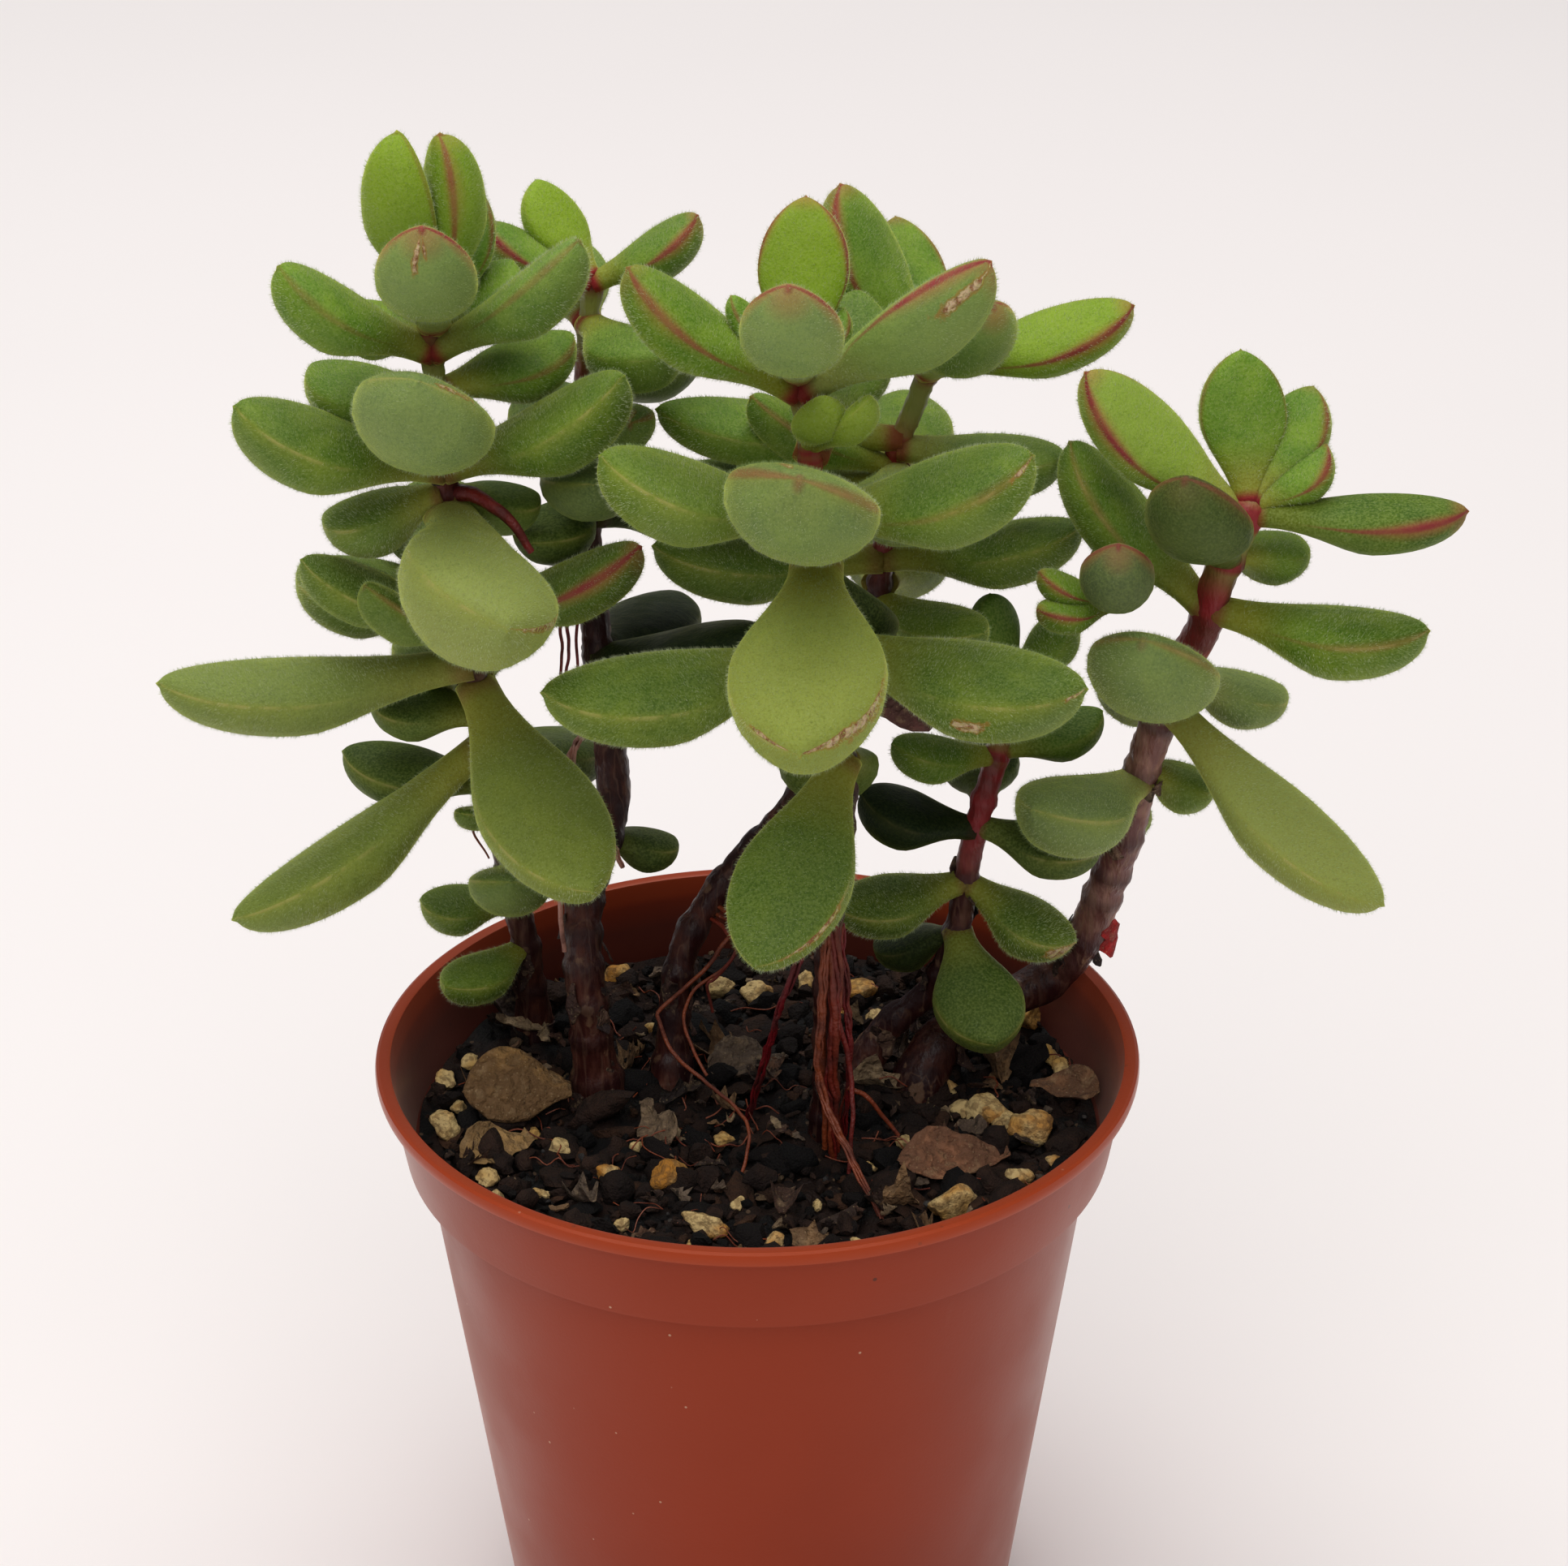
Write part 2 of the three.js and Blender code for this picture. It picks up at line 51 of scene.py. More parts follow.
# %% [markdown]
# The plant was photographed from a little above, with a long lens. A pinhole camera that
# fits the ellipse of the rim stands 0.49 m from the middle of the pot and looks down by
# 26.7 degrees. A pale floor, a wide lamp above the back, a weaker one above the front and an
# even sky give soft light.

# %% Camera, floor and light
camera = bpy.data.objects.new("camera", bpy.data.cameras.new("camera"))
bpy.context.scene.collection.objects.link(camera)
camera.data.lens = 93.17
camera.data.sensor_width = 36
camera.data.clip_start = 0.01
camera.location = (0.00311, -0.39107, 0.3045)
look_down = Quaternion((1, 0, 0), math.radians(90 - 26.72))
level = Quaternion((0, 0, 1), math.radians(-0.29))
camera.rotation_euler = (look_down @ level).to_euler()
bpy.context.scene.camera = camera


def softbox(name, place, target, size, power):
    """A square lamp of a size in metres and a power in watts that faces its target."""
    lamp = bpy.data.objects.new(name, bpy.data.lights.new(name, "AREA"))
    bpy.context.scene.collection.objects.link(lamp)
    lamp.data.size, lamp.data.energy = size, power
    lamp.data.color = (1.0, 0.985, 0.96)
    lamp.location = place
    lamp.rotation_euler = (Vector(target) - lamp.location).to_track_quat("-Z", "Y").to_euler()


softbox("softbox_above", (-0.1, 0.42, 1.3), (-0.1, 0.42, 0), 1.1, 12.4)
softbox("softbox_front", (-0.08, -0.6, 0.95), (0, 0, 0.12), 1.0, 5.6)

sky = bpy.data.worlds.new("even_sky")
sky.use_nodes = True
sky.node_tree.nodes["Background"].inputs["Color"].default_value = (0.97, 0.96, 1.0, 1)
sky.node_tree.nodes["Background"].inputs["Strength"].default_value = 0.25
bpy.context.scene.world = sky
bpy.context.scene.view_settings.view_transform = "Standard"

bpy.ops.mesh.primitive_plane_add(size=6, location=(0, 0, 0))
floor = bpy.context.object
floor.name = "floor"
print("camera at", [round(v, 3) for v in camera.location])

# %% [markdown]
# Materials are built from small steps, so each step gets a short helper: add a node with
# its inputs, mix two colours, lay a colour over another, and turn a value into a mask.
# Colours are given as screen values from 0 to 255 and turned to the linear values
# that Blender works in.

# %% Helpers for node trees
def colour(red, green, blue):
    """A screen colour as a linear one."""
    shares = [c / 255 for c in (red, green, blue)]
    return tuple(c / 12.92 if c <= 0.04045 else ((c + 0.055) / 1.055) ** 2.4 for c in shares) + (1,)


def put(tree, socket, value):
    """Links an output to a socket, or sets the socket's own value."""
    if isinstance(value, bpy.types.NodeSocket):
        tree.links.new(value, socket)
    else:
        socket.default_value = value


def add(tree, kind, inputs=None, **settings):
    """A new node with its settings and its inputs."""
    made = tree.nodes.new("ShaderNode" + kind)
    for key, value in settings.items():
        setattr(made, key, value)
    for key, value in (inputs or {}).items():
        put(tree, made.inputs[key], value)
    return made


def sums(tree, operation, *values):
    """The result of one step of arithmetic."""
    return add(tree, "Math", dict(enumerate(values)), operation=operation).outputs[0]


def span(tree, value, low, high, start=0.0, end=1.0):
    """Start where value is at low, end where it is at high, and eased in between."""
    return add(tree, "MapRange", {
        "Value": value, "From Min": low, "From Max": high, "To Min": start, "To Max": end,
    }, interpolation_type="SMOOTHSTEP").outputs["Result"]


def blend_colours(tree, share, first, second):
    """The first colour, mixed towards the second by a share."""
    return add(tree, "Mix", {0: share, 6: first, 7: second}, data_type="RGBA").outputs[2]


def over(tree, under, shade, mask, *shares):
    """Lays a shade over a colour by a mask, and any further shares make it weaker."""
    for share in shares:
        mask = sums(tree, "MULTIPLY", mask, share)
    return blend_colours(tree, mask, under, shade)


def marked(tree, name, part=None):
    """A mark of the mesh: a value, or one part of three."""
    made = add(tree, "Attribute", attribute_name=name)
    if part is None:
        return made.outputs["Fac"]
    return add(tree, "SeparateXYZ", {"Vector": made.outputs["Vector"]}).outputs[part]


def stretched(tree, place, share):
    """A place whose height counts for a share only, so that marks run up and down."""
    return add(tree, "Mapping", {"Vector": place, "Scale": (1, 1, share)}).outputs[0]


def new_material(name):
    """A material with its tree, its shader and the place in the object."""
    made = bpy.data.materials.new(name)
    made.use_nodes = True
    tree = made.node_tree
    return made, tree, tree.nodes["Principled BSDF"], add(tree, "TexCoord").outputs["Object"]


# %% [markdown]
# Three effects are used by nearly every finish here: soft mottling, scattered specks and a
# rough grain. Each is one node group with its own inputs, so that a leaf and a pot can share
# it with different sizes. Scales are waves or cells per metre.

# %% Shared effects: mottle, specks and grain
def new_group(name, inputs, output):
    """An empty node group with its inputs and one output."""
    tree = bpy.data.node_groups.new(name, "ShaderNodeTree")
    for label, value in {"Vector": None, **inputs}.items():
        socket = tree.interface.new_socket(
            name=label, in_out="INPUT",
            socket_type="NodeSocketVector" if value is None else "NodeSocketFloat")
        if value is not None:
            socket.default_value = value
    tree.interface.new_socket(name=output, in_out="OUTPUT", socket_type="NodeSocketFloat")
    source = tree.nodes.new("NodeGroupInput").outputs
    result = tree.nodes.new("NodeGroupOutput").inputs[output]
    return tree, source, result


tree, source, result = new_group(
    "Mottle", {"Scale": 200, "Detail": 3, "Low": 0.4, "High": 0.6}, "Mask")
cloud = add(tree, "TexNoise", {key: source[key] for key in ("Vector", "Scale", "Detail")})
put(tree, result, span(tree, cloud.outputs["Fac"], source["Low"], source["High"]))

tree, source, result = new_group("Specks", {"Scale": 1500, "Size": 0.2, "Share": 0.3}, "Mask")
cells = add(tree, "TexVoronoi", {"Vector": source["Vector"], "Scale": source["Scale"]})
dot = span(tree, cells.outputs["Distance"], sums(tree, "MULTIPLY", source["Size"], 0.6),
           source["Size"], 1.0, 0.0)
chosen = sums(tree, "LESS_THAN", add(tree, "SeparateXYZ", {
    "Vector": cells.outputs["Color"]}).outputs["X"], source["Share"])
put(tree, result, sums(tree, "MULTIPLY", dot, chosen))

tree, source, result = new_group("Grain", {"Coarse": 300, "Fine": 2000}, "Height")
coarse, fine = (add(tree, "TexNoise", {
    "Vector": source["Vector"], "Scale": source[size], "Detail": detail}).outputs["Fac"]
    for size, detail in (("Coarse", 4), ("Fine", 2)))
put(tree, result, sums(tree, "MULTIPLY_ADD", fine, 0.35, coarse))


def shared(tree, name, **inputs):
    """One of the three shared effects with its own values."""
    made = add(tree, "Group")
    made.node_tree = bpy.data.node_groups[name]
    for key, value in inputs.items():
        put(tree, made.inputs[key], value)
    return made.outputs[0]


def mottled(tree, place, scale, low=0.4, high=0.6, detail=3):
    """Clouds that are 0 where the noise is at low and 1 where it is at high."""
    return shared(tree, "Mottle", Vector=place, Scale=scale, Detail=detail, Low=low, High=high)


def specked(tree, place, scale, size, share):
    """Dots of a size, in a share of the cells."""
    return shared(tree, "Specks", Vector=place, Scale=scale, Size=size, Share=share)


def grained(tree, place, coarse, fine):
    """A rough height in two sizes."""
    return shared(tree, "Grain", Vector=place, Coarse=coarse, Fine=fine)


def raise_surface(tree, shader, height, distance, strength=1.0):
    """Lets a height of a distance in metres catch the light."""
    bump = add(tree, "Bump", {"Height": height, "Distance": distance, "Strength": strength})
    put(tree, shader.inputs["Normal"], bump.outputs["Normal"])


print("shared effects:", [group.name for group in bpy.data.node_groups])

# %% [markdown]
# Pieces are finished in the same way each time: the object rides on the only body, takes its
# finish, and may stand in for CAD nodes, which are then hidden.

# %% Helpers for pieces
def finish_piece(piece, name, material, nodes=(), angle=None):
    """Names a piece, dresses it and hides the CAD nodes it stands in for."""
    piece.name = piece.data.name = name
    piece.data.materials.clear()
    piece.data.materials.append(material)
    bpy.ops.object.select_all(action="DESELECT")
    bpy.context.view_layer.objects.active = piece
    piece.select_set(True)
    if angle is None:
        bpy.ops.object.shade_smooth()
    else:
        bpy.ops.object.shade_smooth_by_angle(angle=math.radians(angle))
    piece.select_set(False)
    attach(piece, "root")
    if nodes:
        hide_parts(*nodes)
    print(name, len(piece.data.polygons), "faces")
    return piece


def start_editing(piece):
    bpy.ops.object.select_all(action="DESELECT")
    bpy.context.view_layer.objects.active = piece
    piece.select_set(True)
    bpy.ops.object.mode_set(mode="EDIT")


def stop_editing():
    bpy.ops.object.mode_set(mode="OBJECT")
    bpy.ops.object.transform_apply(location=True, rotation=True, scale=True)
    bpy.context.object.select_set(False)
    return bpy.context.object


def points_of(piece):
    points = np.empty(len(piece.data.vertices) * 3)
    piece.data.vertices.foreach_get("co", points)
    return points.reshape(-1, 3)


def move_points(piece, points):
    piece.data.vertices.foreach_set("co", np.ascontiguousarray(points).ravel())
    piece.data.update()


def take_mesh(piece):
    """The points and faces of a piece that is only a pattern, which then goes."""
    points, faces = points_of(piece), [tuple(face.vertices) for face in piece.data.polygons]
    bpy.data.objects.remove(piece)
    return points, faces


def in_order(points, faces):
    """The same mesh with its points and faces in one fixed order, so that seeded draws repeat."""
    order = np.lexsort(np.round(points, 5).T)
    rank = np.argsort(order)
    turned_faces = []
    for face in faces:
        face = [int(rank[k]) for k in face]
        first = face.index(min(face))
        turned_faces.append(tuple(face[first:] + face[:first]))
    return points[order], sorted(turned_faces)


def mark_points(mesh, name, values):
    """Keeps a value, or three, for each point of a mesh."""
    values = np.asarray(values, float)
    kind, key = ("FLOAT_VECTOR", "vector") if values.ndim == 2 else ("FLOAT", "value")
    mesh.attributes.new(name, kind, "POINT").data.foreach_set(key, values.ravel())


def copies(name, faces, places, marks=None):
    """One mesh that holds a copy of the faces for each array of places."""
    joined, start = [], 0
    for place in places:
        joined += [tuple(i + start for i in face) for face in faces]
        start += len(place)
    mesh = bpy.data.meshes.new(name)
    mesh.from_pydata(np.concatenate(places).tolist(), [], joined)
    for key, values in (marks or {}).items():
        mark_points(mesh, key, np.concatenate(values))
    piece = bpy.data.objects.new(name, mesh)
    bpy.context.scene.collection.objects.link(piece)
    return piece


def roughness_at(points, size, seed):
    """A smooth random height for each point, from sums of sines with seeded directions."""
    source = np.random.default_rng(seed)
    total = np.zeros(len(points))
    for octave in range(3):
        for _ in range(5):
            arrow = source.normal(size=3) * (2 ** octave) * 2.2 / size
            total += np.sin(points @ arrow + source.uniform(0, 6.28)) / (5 * 1.6 ** octave)
    return total


def rough_arrows(points, size, seed):
    """Three such heights for each point, which move it along X, Y and Z."""
    return np.column_stack([roughness_at(points, size, seed + k) for k in range(3)])


# %% [markdown]
# The pot is one turned wall: a foot ring round a recessed floor, a tapered body, a deep band
# and a rolled lip. It could be spun from a drawn profile. Here a round disc is extruded and
# resized ring by ring, which keeps every step in one list of radius and height.

# %% Turn the pot
POT_RINGS = [
    (13, 0), (13.8, 1.2), (23.7, 1.2), (24.5, 0), (28.1, 0), (28.55, 0.15), (28.7, 0.6),
    (33.0, 32.1), (37.4, 63.6), (39.2, 63.9), (39.5, 64.1), (39.6, 64.5), (40.4, 69), (41.1, 73.2),
    (42.1, 73.35), (42.4, 73.55), (42.5, 73.9), (42.5, 74.4), (42.38, 74.8), (42.05, 75),
    (41.2, 75), (40.85, 74.88), (40.7, 74.5), (39.5, 69.5), (38.4, 65.2), (36.2, 63.2),
    (31.8, 33), (27.5, 2.8),
]


def extrude_rings(rings):
    """Carries the selected ring on through a list of radius and height."""
    for (old_radius, old_height), (radius, height) in zip(rings, rings[1:]):
        bpy.ops.mesh.extrude_region_move(
            TRANSFORM_OT_translate={"value": (0, 0, (height - old_height) * MM)})
        share = radius / old_radius
        bpy.ops.transform.resize(value=(share, share, 1), center_override=(0, 0, height * MM))


bpy.ops.mesh.primitive_circle_add(
    vertices=160, radius=POT_RINGS[0][0] * MM, fill_type="NGON", location=(0, 0, 0))
pot = bpy.context.object
start_editing(pot)
extrude_rings(POT_RINGS)
bpy.ops.mesh.select_all(action="SELECT")
bpy.ops.mesh.normals_make_consistent(inside=False)
pot = stop_editing()

# %% Drill the drain holes
DRAIN_HOLES, DRAIN_CIRCLE, DRAIN_RADIUS = 8, 18.8, 2.4
drills = []
for k in range(DRAIN_HOLES):
    turn = 2 * math.pi * (k + 0.5) / DRAIN_HOLES
    bpy.ops.mesh.primitive_cylinder_add(
        vertices=32, radius=DRAIN_RADIUS * MM, depth=9 * MM,
        location=(DRAIN_CIRCLE * MM * math.cos(turn), DRAIN_CIRCLE * MM * math.sin(turn), 0))
    drills.append(bpy.context.object)
for drill in drills:
    drill.select_set(True)
bpy.ops.object.join()
drill = bpy.context.object
drill.select_set(False)
cut = pot.modifiers.new("drain_holes", "BOOLEAN")
cut.operation, cut.solver, cut.object = "DIFFERENCE", "EXACT", drill
bpy.context.view_layer.objects.active = pot
pot.select_set(True)
bpy.ops.object.modifier_apply(modifier="drain_holes")
bpy.data.objects.remove(drill)
points = points_of(pot) / MM
wall_radius = np.interp(points[:, 2], (0, 63.6, 64.5, 73.2), (28.7, 37.4, 39.6, 41.1))
# Points on the inner wall are marked for painted shade.
inner = np.hypot(points[:, 0], points[:, 1]) < wall_radius - 0.6
inner &= (points[:, 2] > 2) & (points[:, 2] < 72)
mark_points(pot.data, "painted_shade_inner_wall", inner)
print("pot", len(points), "points,", inner.sum(), "on the inner wall")

# %% [markdown]
# The plastic is a matt terracotta red. Real pots of this kind have a very fine orange peel
# from the mould, pale scuffs on the widest part, and dust and soil specks near the rim. The
# rolled lip is made brighter with painted light, and the wall inside is darker with painted shade.

# %% Pot plastic
plastic, tree, shader, place = new_material("pot_plastic")
clay = blend_colours(tree, mottled(tree, place, 22, 0.35, 0.7), colour(147, 49, 19),
                     colour(138, 45, 16))
scuffs = mottled(tree, stretched(tree, place, 0.45), 95, 0.66, 0.8, 6)
clay = over(tree, clay, colour(186, 118, 98), scuffs, 0.35)
height_here = add(tree, "SeparateXYZ", {"Vector": place}).outputs["Z"]
near_rim = span(tree, height_here, 55 * MM, 75 * MM)
clay = over(tree, clay, colour(70, 38, 28), specked(tree, place, 420, 0.13, 0.16), near_rim)
clay = over(tree, clay, colour(215, 180, 150), specked(tree, place, 650, 0.12, 0.05), 0.6)
# Painted shade: the inner wall is darkened, as shade falls inside the pot.
painted_shade_inner_wall = marked(tree, "painted_shade_inner_wall")
clay = over(tree, clay, colour(88, 42, 36), painted_shade_inner_wall, 0.85)
# Painted light: the top of the wall and the lip are made brighter.
painted_lip_highlight = span(tree, height_here, 72.2 * MM, 73.2 * MM, 0, 0.6)
clay = over(tree, clay, colour(176, 68, 32), painted_lip_highlight, sums(tree, "SUBTRACT", 1, painted_shade_inner_wall))
put(tree, shader.inputs["Base Color"], clay)
wear = mottled(tree, place, 60, 0.3, 0.75, 5)
put(tree, shader.inputs["Roughness"], span(tree, wear, 0, 1, 0.3, 0.43))
shader.inputs["Specular IOR Level"].default_value = 0.26
shader.inputs["Specular Tint"].default_value = colour(255, 214, 196)
shader.inputs["Sheen Weight"].default_value = 0.18
shader.inputs["Sheen Roughness"].default_value = 0.45
shader.inputs["Sheen Tint"].default_value = colour(255, 216, 200)
raise_surface(tree, shader, grained(tree, place, 160, 2600), 0.00006, 0.5)
finish_piece(pot, "moulded_pot", plastic, ["pot"], angle=28)

# %% [markdown]
# The potting mix fills the pot to 9 mm under the rim. Its top is a disc of small triangles,
# lifted into lumps, and its side goes down to the floor so that the drain holes show it.

# %% Potting mix
SOIL_LEVEL, SOIL_RADIUS = 66.3, 38


def soil_height(x, y):
    """Height of the soil in mm, by the same formula as the CAD."""
    swell = 0.7 * np.sin(0.11 * x + 1.1) * np.cos(0.13 * y - 0.4)
    lumps = 0.45 * np.sin(0.47 * x + 0.9) * np.sin(0.53 * y + 0.3)
    return SOIL_LEVEL + swell + lumps


bpy.ops.mesh.primitive_circle_add(
    vertices=12, radius=SOIL_RADIUS * MM, fill_type="TRIFAN", location=(0, 0, SOIL_LEVEL * MM))
soil = bpy.context.object
start_editing(soil)
bpy.ops.mesh.subdivide(number_cuts=59)
soil = stop_editing()
points = points_of(soil)
turn = np.arctan2(points[:, 1], points[:, 0])
off_middle = (turn - math.pi / 2) % (math.pi / 6) - math.pi / 12
points[:, :2] *= (np.cos(off_middle) / math.cos(math.pi / 12))[:, None]
x, y = points[:, 0] / MM, points[:, 1] / MM
lumps = roughness_at(points / MM, 5, 3) * 0.9 + roughness_at(points / MM, 1.6, 4) * 0.5
inner = np.clip((SOIL_RADIUS - np.hypot(x, y)) / 2, 0, 1)
points[:, 2] = (soil_height(x, y) - 0.5 + lumps * inner) * MM
move_points(soil, points)
start_editing(soil)
bpy.ops.mesh.select_all(action="DESELECT")
bpy.ops.mesh.select_mode(type="VERT")
bpy.ops.mesh.select_non_manifold()
extrude_rings([(38, 65.8), (38, 65.3), (35.9, 63.2), (27.2, 3.1)])
bpy.ops.mesh.edge_face_add()
bpy.ops.mesh.select_all(action="SELECT")
bpy.ops.mesh.normals_make_consistent(inside=False)
soil = stop_editing()
print("soil", len(soil.data.vertices), "points")

# %% [markdown]
# Peat is nearly black where it is damp and brown where it has dried. The colour follows a
# coarse mottle, and a rough grain keeps it from shining like mud.

# %% Potting mix finish
peat, tree, shader, place = new_material("potting_mix")
brown = blend_colours(tree, mottled(tree, place, 180, 0.42, 0.62, 5), colour(12, 10, 10),
                      colour(42, 28, 23))
brown = over(tree, brown, colour(104, 82, 64), specked(tree, place, 900, 0.28, 0.14), 0.7)
put(tree, shader.inputs["Base Color"], brown)
damp = mottled(tree, place, 90, 0.4, 0.65)
put(tree, shader.inputs["Roughness"], span(tree, damp, 0, 1, 0.62, 0.95))
shader.inputs["Specular IOR Level"].default_value = 0.25
raise_surface(tree, shader, grained(tree, place, 700, 3500), 0.0006)
finish_piece(soil, "potting_mix", peat, ["soil"], angle=60)

# %% [markdown]
# Loose crumbs of peat, bark and grit lie on top. Each starts from one small icosphere, which
# is cut back to its own seeded planes and roughened, and then gets its own stretch, turn and
# place. The mark "kind" tells the material which crumb is peat, bark or grit.

# %% Crumbs on the mix
def round_master(subdivisions, offset):
    """Points and faces of an icosphere of 1 mm with its corners moved a little."""
    bpy.ops.mesh.primitive_ico_sphere_add(subdivisions=subdivisions, radius=0.5, location=(0, 0, 0))
    start_editing(bpy.context.object)
    bpy.ops.mesh.select_all(action="SELECT")
    bpy.ops.transform.vertex_random(offset=offset, seed=3)
    return take_mesh(stop_editing())


def broken(points, seed, crisp=9):
    """Cuts a ball back to seeded planes, with rounded corners, like a broken stone."""
    source = np.random.default_rng(seed)
    planes = source.normal(size=(12, 3))
    planes /= np.linalg.norm(planes, axis=1)[:, None]
    reach = source.uniform(0.26, 0.5, 12)
    arrows = points / np.linalg.norm(points, axis=1)[:, None]
    facing = np.maximum(arrows @ planes.T, 0) / reach
    return arrows * ((facing ** crisp).sum(axis=1) + 1.8 ** crisp)[:, None] ** (-1 / crisp)


def turned(points, yaw, tilt, roll):
    """The points after a roll about X, a tilt about Y and a yaw about Z."""
    cy, sy, ct, st = math.cos(yaw), math.sin(yaw), math.cos(tilt), math.sin(tilt)
    cr, sr = math.cos(roll), math.sin(roll)
    about_z = np.array([[cy, -sy, 0], [sy, cy, 0], [0, 0, 1]])
    about_y = np.array([[ct, 0, st], [0, 1, 0], [-st, 0, ct]])
    about_x = np.array([[1, 0, 0], [0, cr, -sr], [0, sr, cr]])
    return points @ (about_z @ about_y @ about_x).T


def place_in_disc(radius, inside):
    """A seeded place in a disc, kept inside a second radius."""
    radius, angle = radius * math.sqrt(rng.random()), rng.uniform(0, 2 * math.pi)
    radius = min(radius, inside)
    return radius * math.cos(angle), radius * math.sin(angle)


lump_points, lump_faces = round_master(2, 0.05)


def crumb_places(count, low, high, flat, kind):
    """Lumps of low to high mm, spread over the soil."""
    places, marks = [], []
    for _ in range(count):
        size = low + (high - low) * rng.random() ** 2
        x, y = place_in_disc(37.6, 37.9 - size / 2)
        shape = broken(lump_points, rng.integers(99999))
        shape = shape * (1 + 0.42 * roughness_at(shape, 0.55, rng.integers(999)))[:, None]
        shape = shape * size * np.array([rng.uniform(0.8, 1.5), rng.uniform(0.7, 1.1), flat])
        shape = turned(shape, *rng.uniform(-0.6, 0.6, 3) * (5, 1, 1))
        height = soil_height(x, y) + size * flat * rng.uniform(-0.1, 0.35)
        places.append((shape + (x, y, height)) * MM)
        marks.append(np.full(len(shape), kind + rng.uniform(0, 0.8)))
    return places, marks


PEAT, BARK, GRIT = 0, 1, 2
# How many, smallest and largest size in mm, flatness and kind.
CRUMBS = [
    (60, 4, 7.5, 0.55, PEAT), (460, 1.4, 5.0, 0.85, PEAT), (190, 1.4, 5.5, 0.4, BARK),
    (1050, 0.4, 1.5, 0.9, PEAT), (230, 0.5, 1.6, 0.8, BARK), (120, 0.5, 1.7, 0.8, GRIT),
]
groups = [crumb_places(*row) for row in CRUMBS]
crumbs = copies("crumbs", lump_faces, sum((g[0] for g in groups), []),
                {"kind": sum((g[1] for g in groups), [])})

crumb_skin, tree, shader, place = new_material("crumbs")
kind = marked(tree, "kind")
peat_shade, bark_shade, grit_shade = (
    blend_colours(tree, span(tree, kind, first, first + 0.8), colour(*dark), colour(*light))
    for first, dark, light in (
        (PEAT, (10, 9, 10), (54, 36, 28)), (BARK, (38, 24, 18), (72, 47, 32)),
        (GRIT, (120, 96, 70), (70, 68, 68))))
shade = over(tree, peat_shade, bark_shade, sums(tree, "GREATER_THAN", kind, 0.9))
shade = over(tree, shade, grit_shade, sums(tree, "GREATER_THAN", kind, 1.9))
shade = over(tree, shade, colour(17, 13, 13), mottled(tree, place, 520, 0.35, 0.65, 5), 0.55)
put(tree, shader.inputs["Base Color"], shade)
shader.inputs["Roughness"].default_value = 0.85
shader.inputs["Specular IOR Level"].default_value = 0.25
raise_surface(tree, shader, grained(tree, place, 900, 4000), 0.0008)
finish_piece(crumbs, "peat_and_bark_crumbs", crumb_skin, angle=48)

# %% [markdown]
# Pumice grains are cream with yellow stains and look like broken bread. Each is an icosphere
# that is cut back to seeded planes and roughened in two sizes of lump. Twelve larger ones
# stand in for the CAD grains, and smaller ones lie between them.

# %% Pumice grains
PUMICE = [
    (-17, 28.6, 3.5), (-4.7, 28, 3.3), (-0.3, 25.6, 3.6), (12.1, 26.7, 3.2), (14.5, 17.2, 3.8),
    (31.2, 19, 3.3), (-34.8, -4.6, 3.6), (-9.2, -14.5, 4), (-5.5, -24.2, 4), (25.5, -0.6, 4.2),
    (30.2, -5.6, 5), (20.9, -20.5, 4.8),
]
SMALL_PUMICE = [
    (5.6, 29, 2.9), (33.4, 11.5, 2.8), (34.6, 8.6, 2.3), (-35.5, 6.2, 2.6), (-32.6, 9.8, 2.6),
    (-21.7, -8.1, 2.6), (-16.3, -15, 2.7), (1.6, -27, 2.8), (28.5, -14.8, 2.8),
    (-23.5, -18.6, 1.6), (-3.7, -6.9, 2.2), (23.1, 0, 2.2), (-29.3, -15.3, 2.1),
    (27.8, -3.4, 3.2), (-13.2, -8.4, 1.8), (16.5, 22.5, 2), (9.4, 21.5, 1.9), (-9.8, 22.4, 1.8),
    (-12.5, 17.6, 2), (-2.2, -18.8, 1.6), (-6.5, -28.2, 1.9), (12.3, -12.2, 1.4),
    (-19.4, 15.6, 1.6), (-30, -9, 1.8), (6.8, 13.5, 1.9), (32.5, -12.4, 1.9), (2.4, -33.4, 1.5),
    (-28, -19.5, 1.8), (-33.6, 1.5, 2), (-14.5, -24, 1.6), (10.5, -27.5, 1.5), (16.5, -8, 1.8),
    (-22.5, -24.8, 1.5), (22, 5, 1.7), (-9, 6.5, 1.6), (15.2, -30.4, 1.3), (-25, -3.4, 1.5),
    (6.4, -18.8, 1.3), (-18.4, -27.9, 1.8),
]
STAINED = {8: 1.0, 9: 0.6, 6: 0.7, 4: 0.7, 1: 0.5, 10: 0.35, 11: 0.3}
ball_points, ball_faces = round_master(4, 0)


def grain_places(x, y, size, seed):
    """A grain of a size in mm, a little sunk into the soil."""
    draw = np.random.default_rng(seed)
    shape = broken(ball_points, seed, 12) * 1.12
    shape = shape * (1 + 0.14 * roughness_at(shape, 0.6, seed) + 0.09 * roughness_at(
        shape, 0.25, seed + 50))[:, None]
    shape = turned(shape * (1.12, 0.9, 0.85), draw.uniform(0, 3.1), 0, 0) * size
    return (shape + (x, y, soil_height(x, y) + 0.22 * size)) * MM


def new_grains(name, rows):
    """One mesh of grains. The mark "stain" gives each its own share of orange."""
    places = [grain_places(*row) for row in rows]
    stains = [np.full(len(place), STAINED.get(row[3], rng.random() ** 2 * 0.7))
              for place, row in zip(places, rows)]
    return copies(name, ball_faces, places, {"stain": stains})


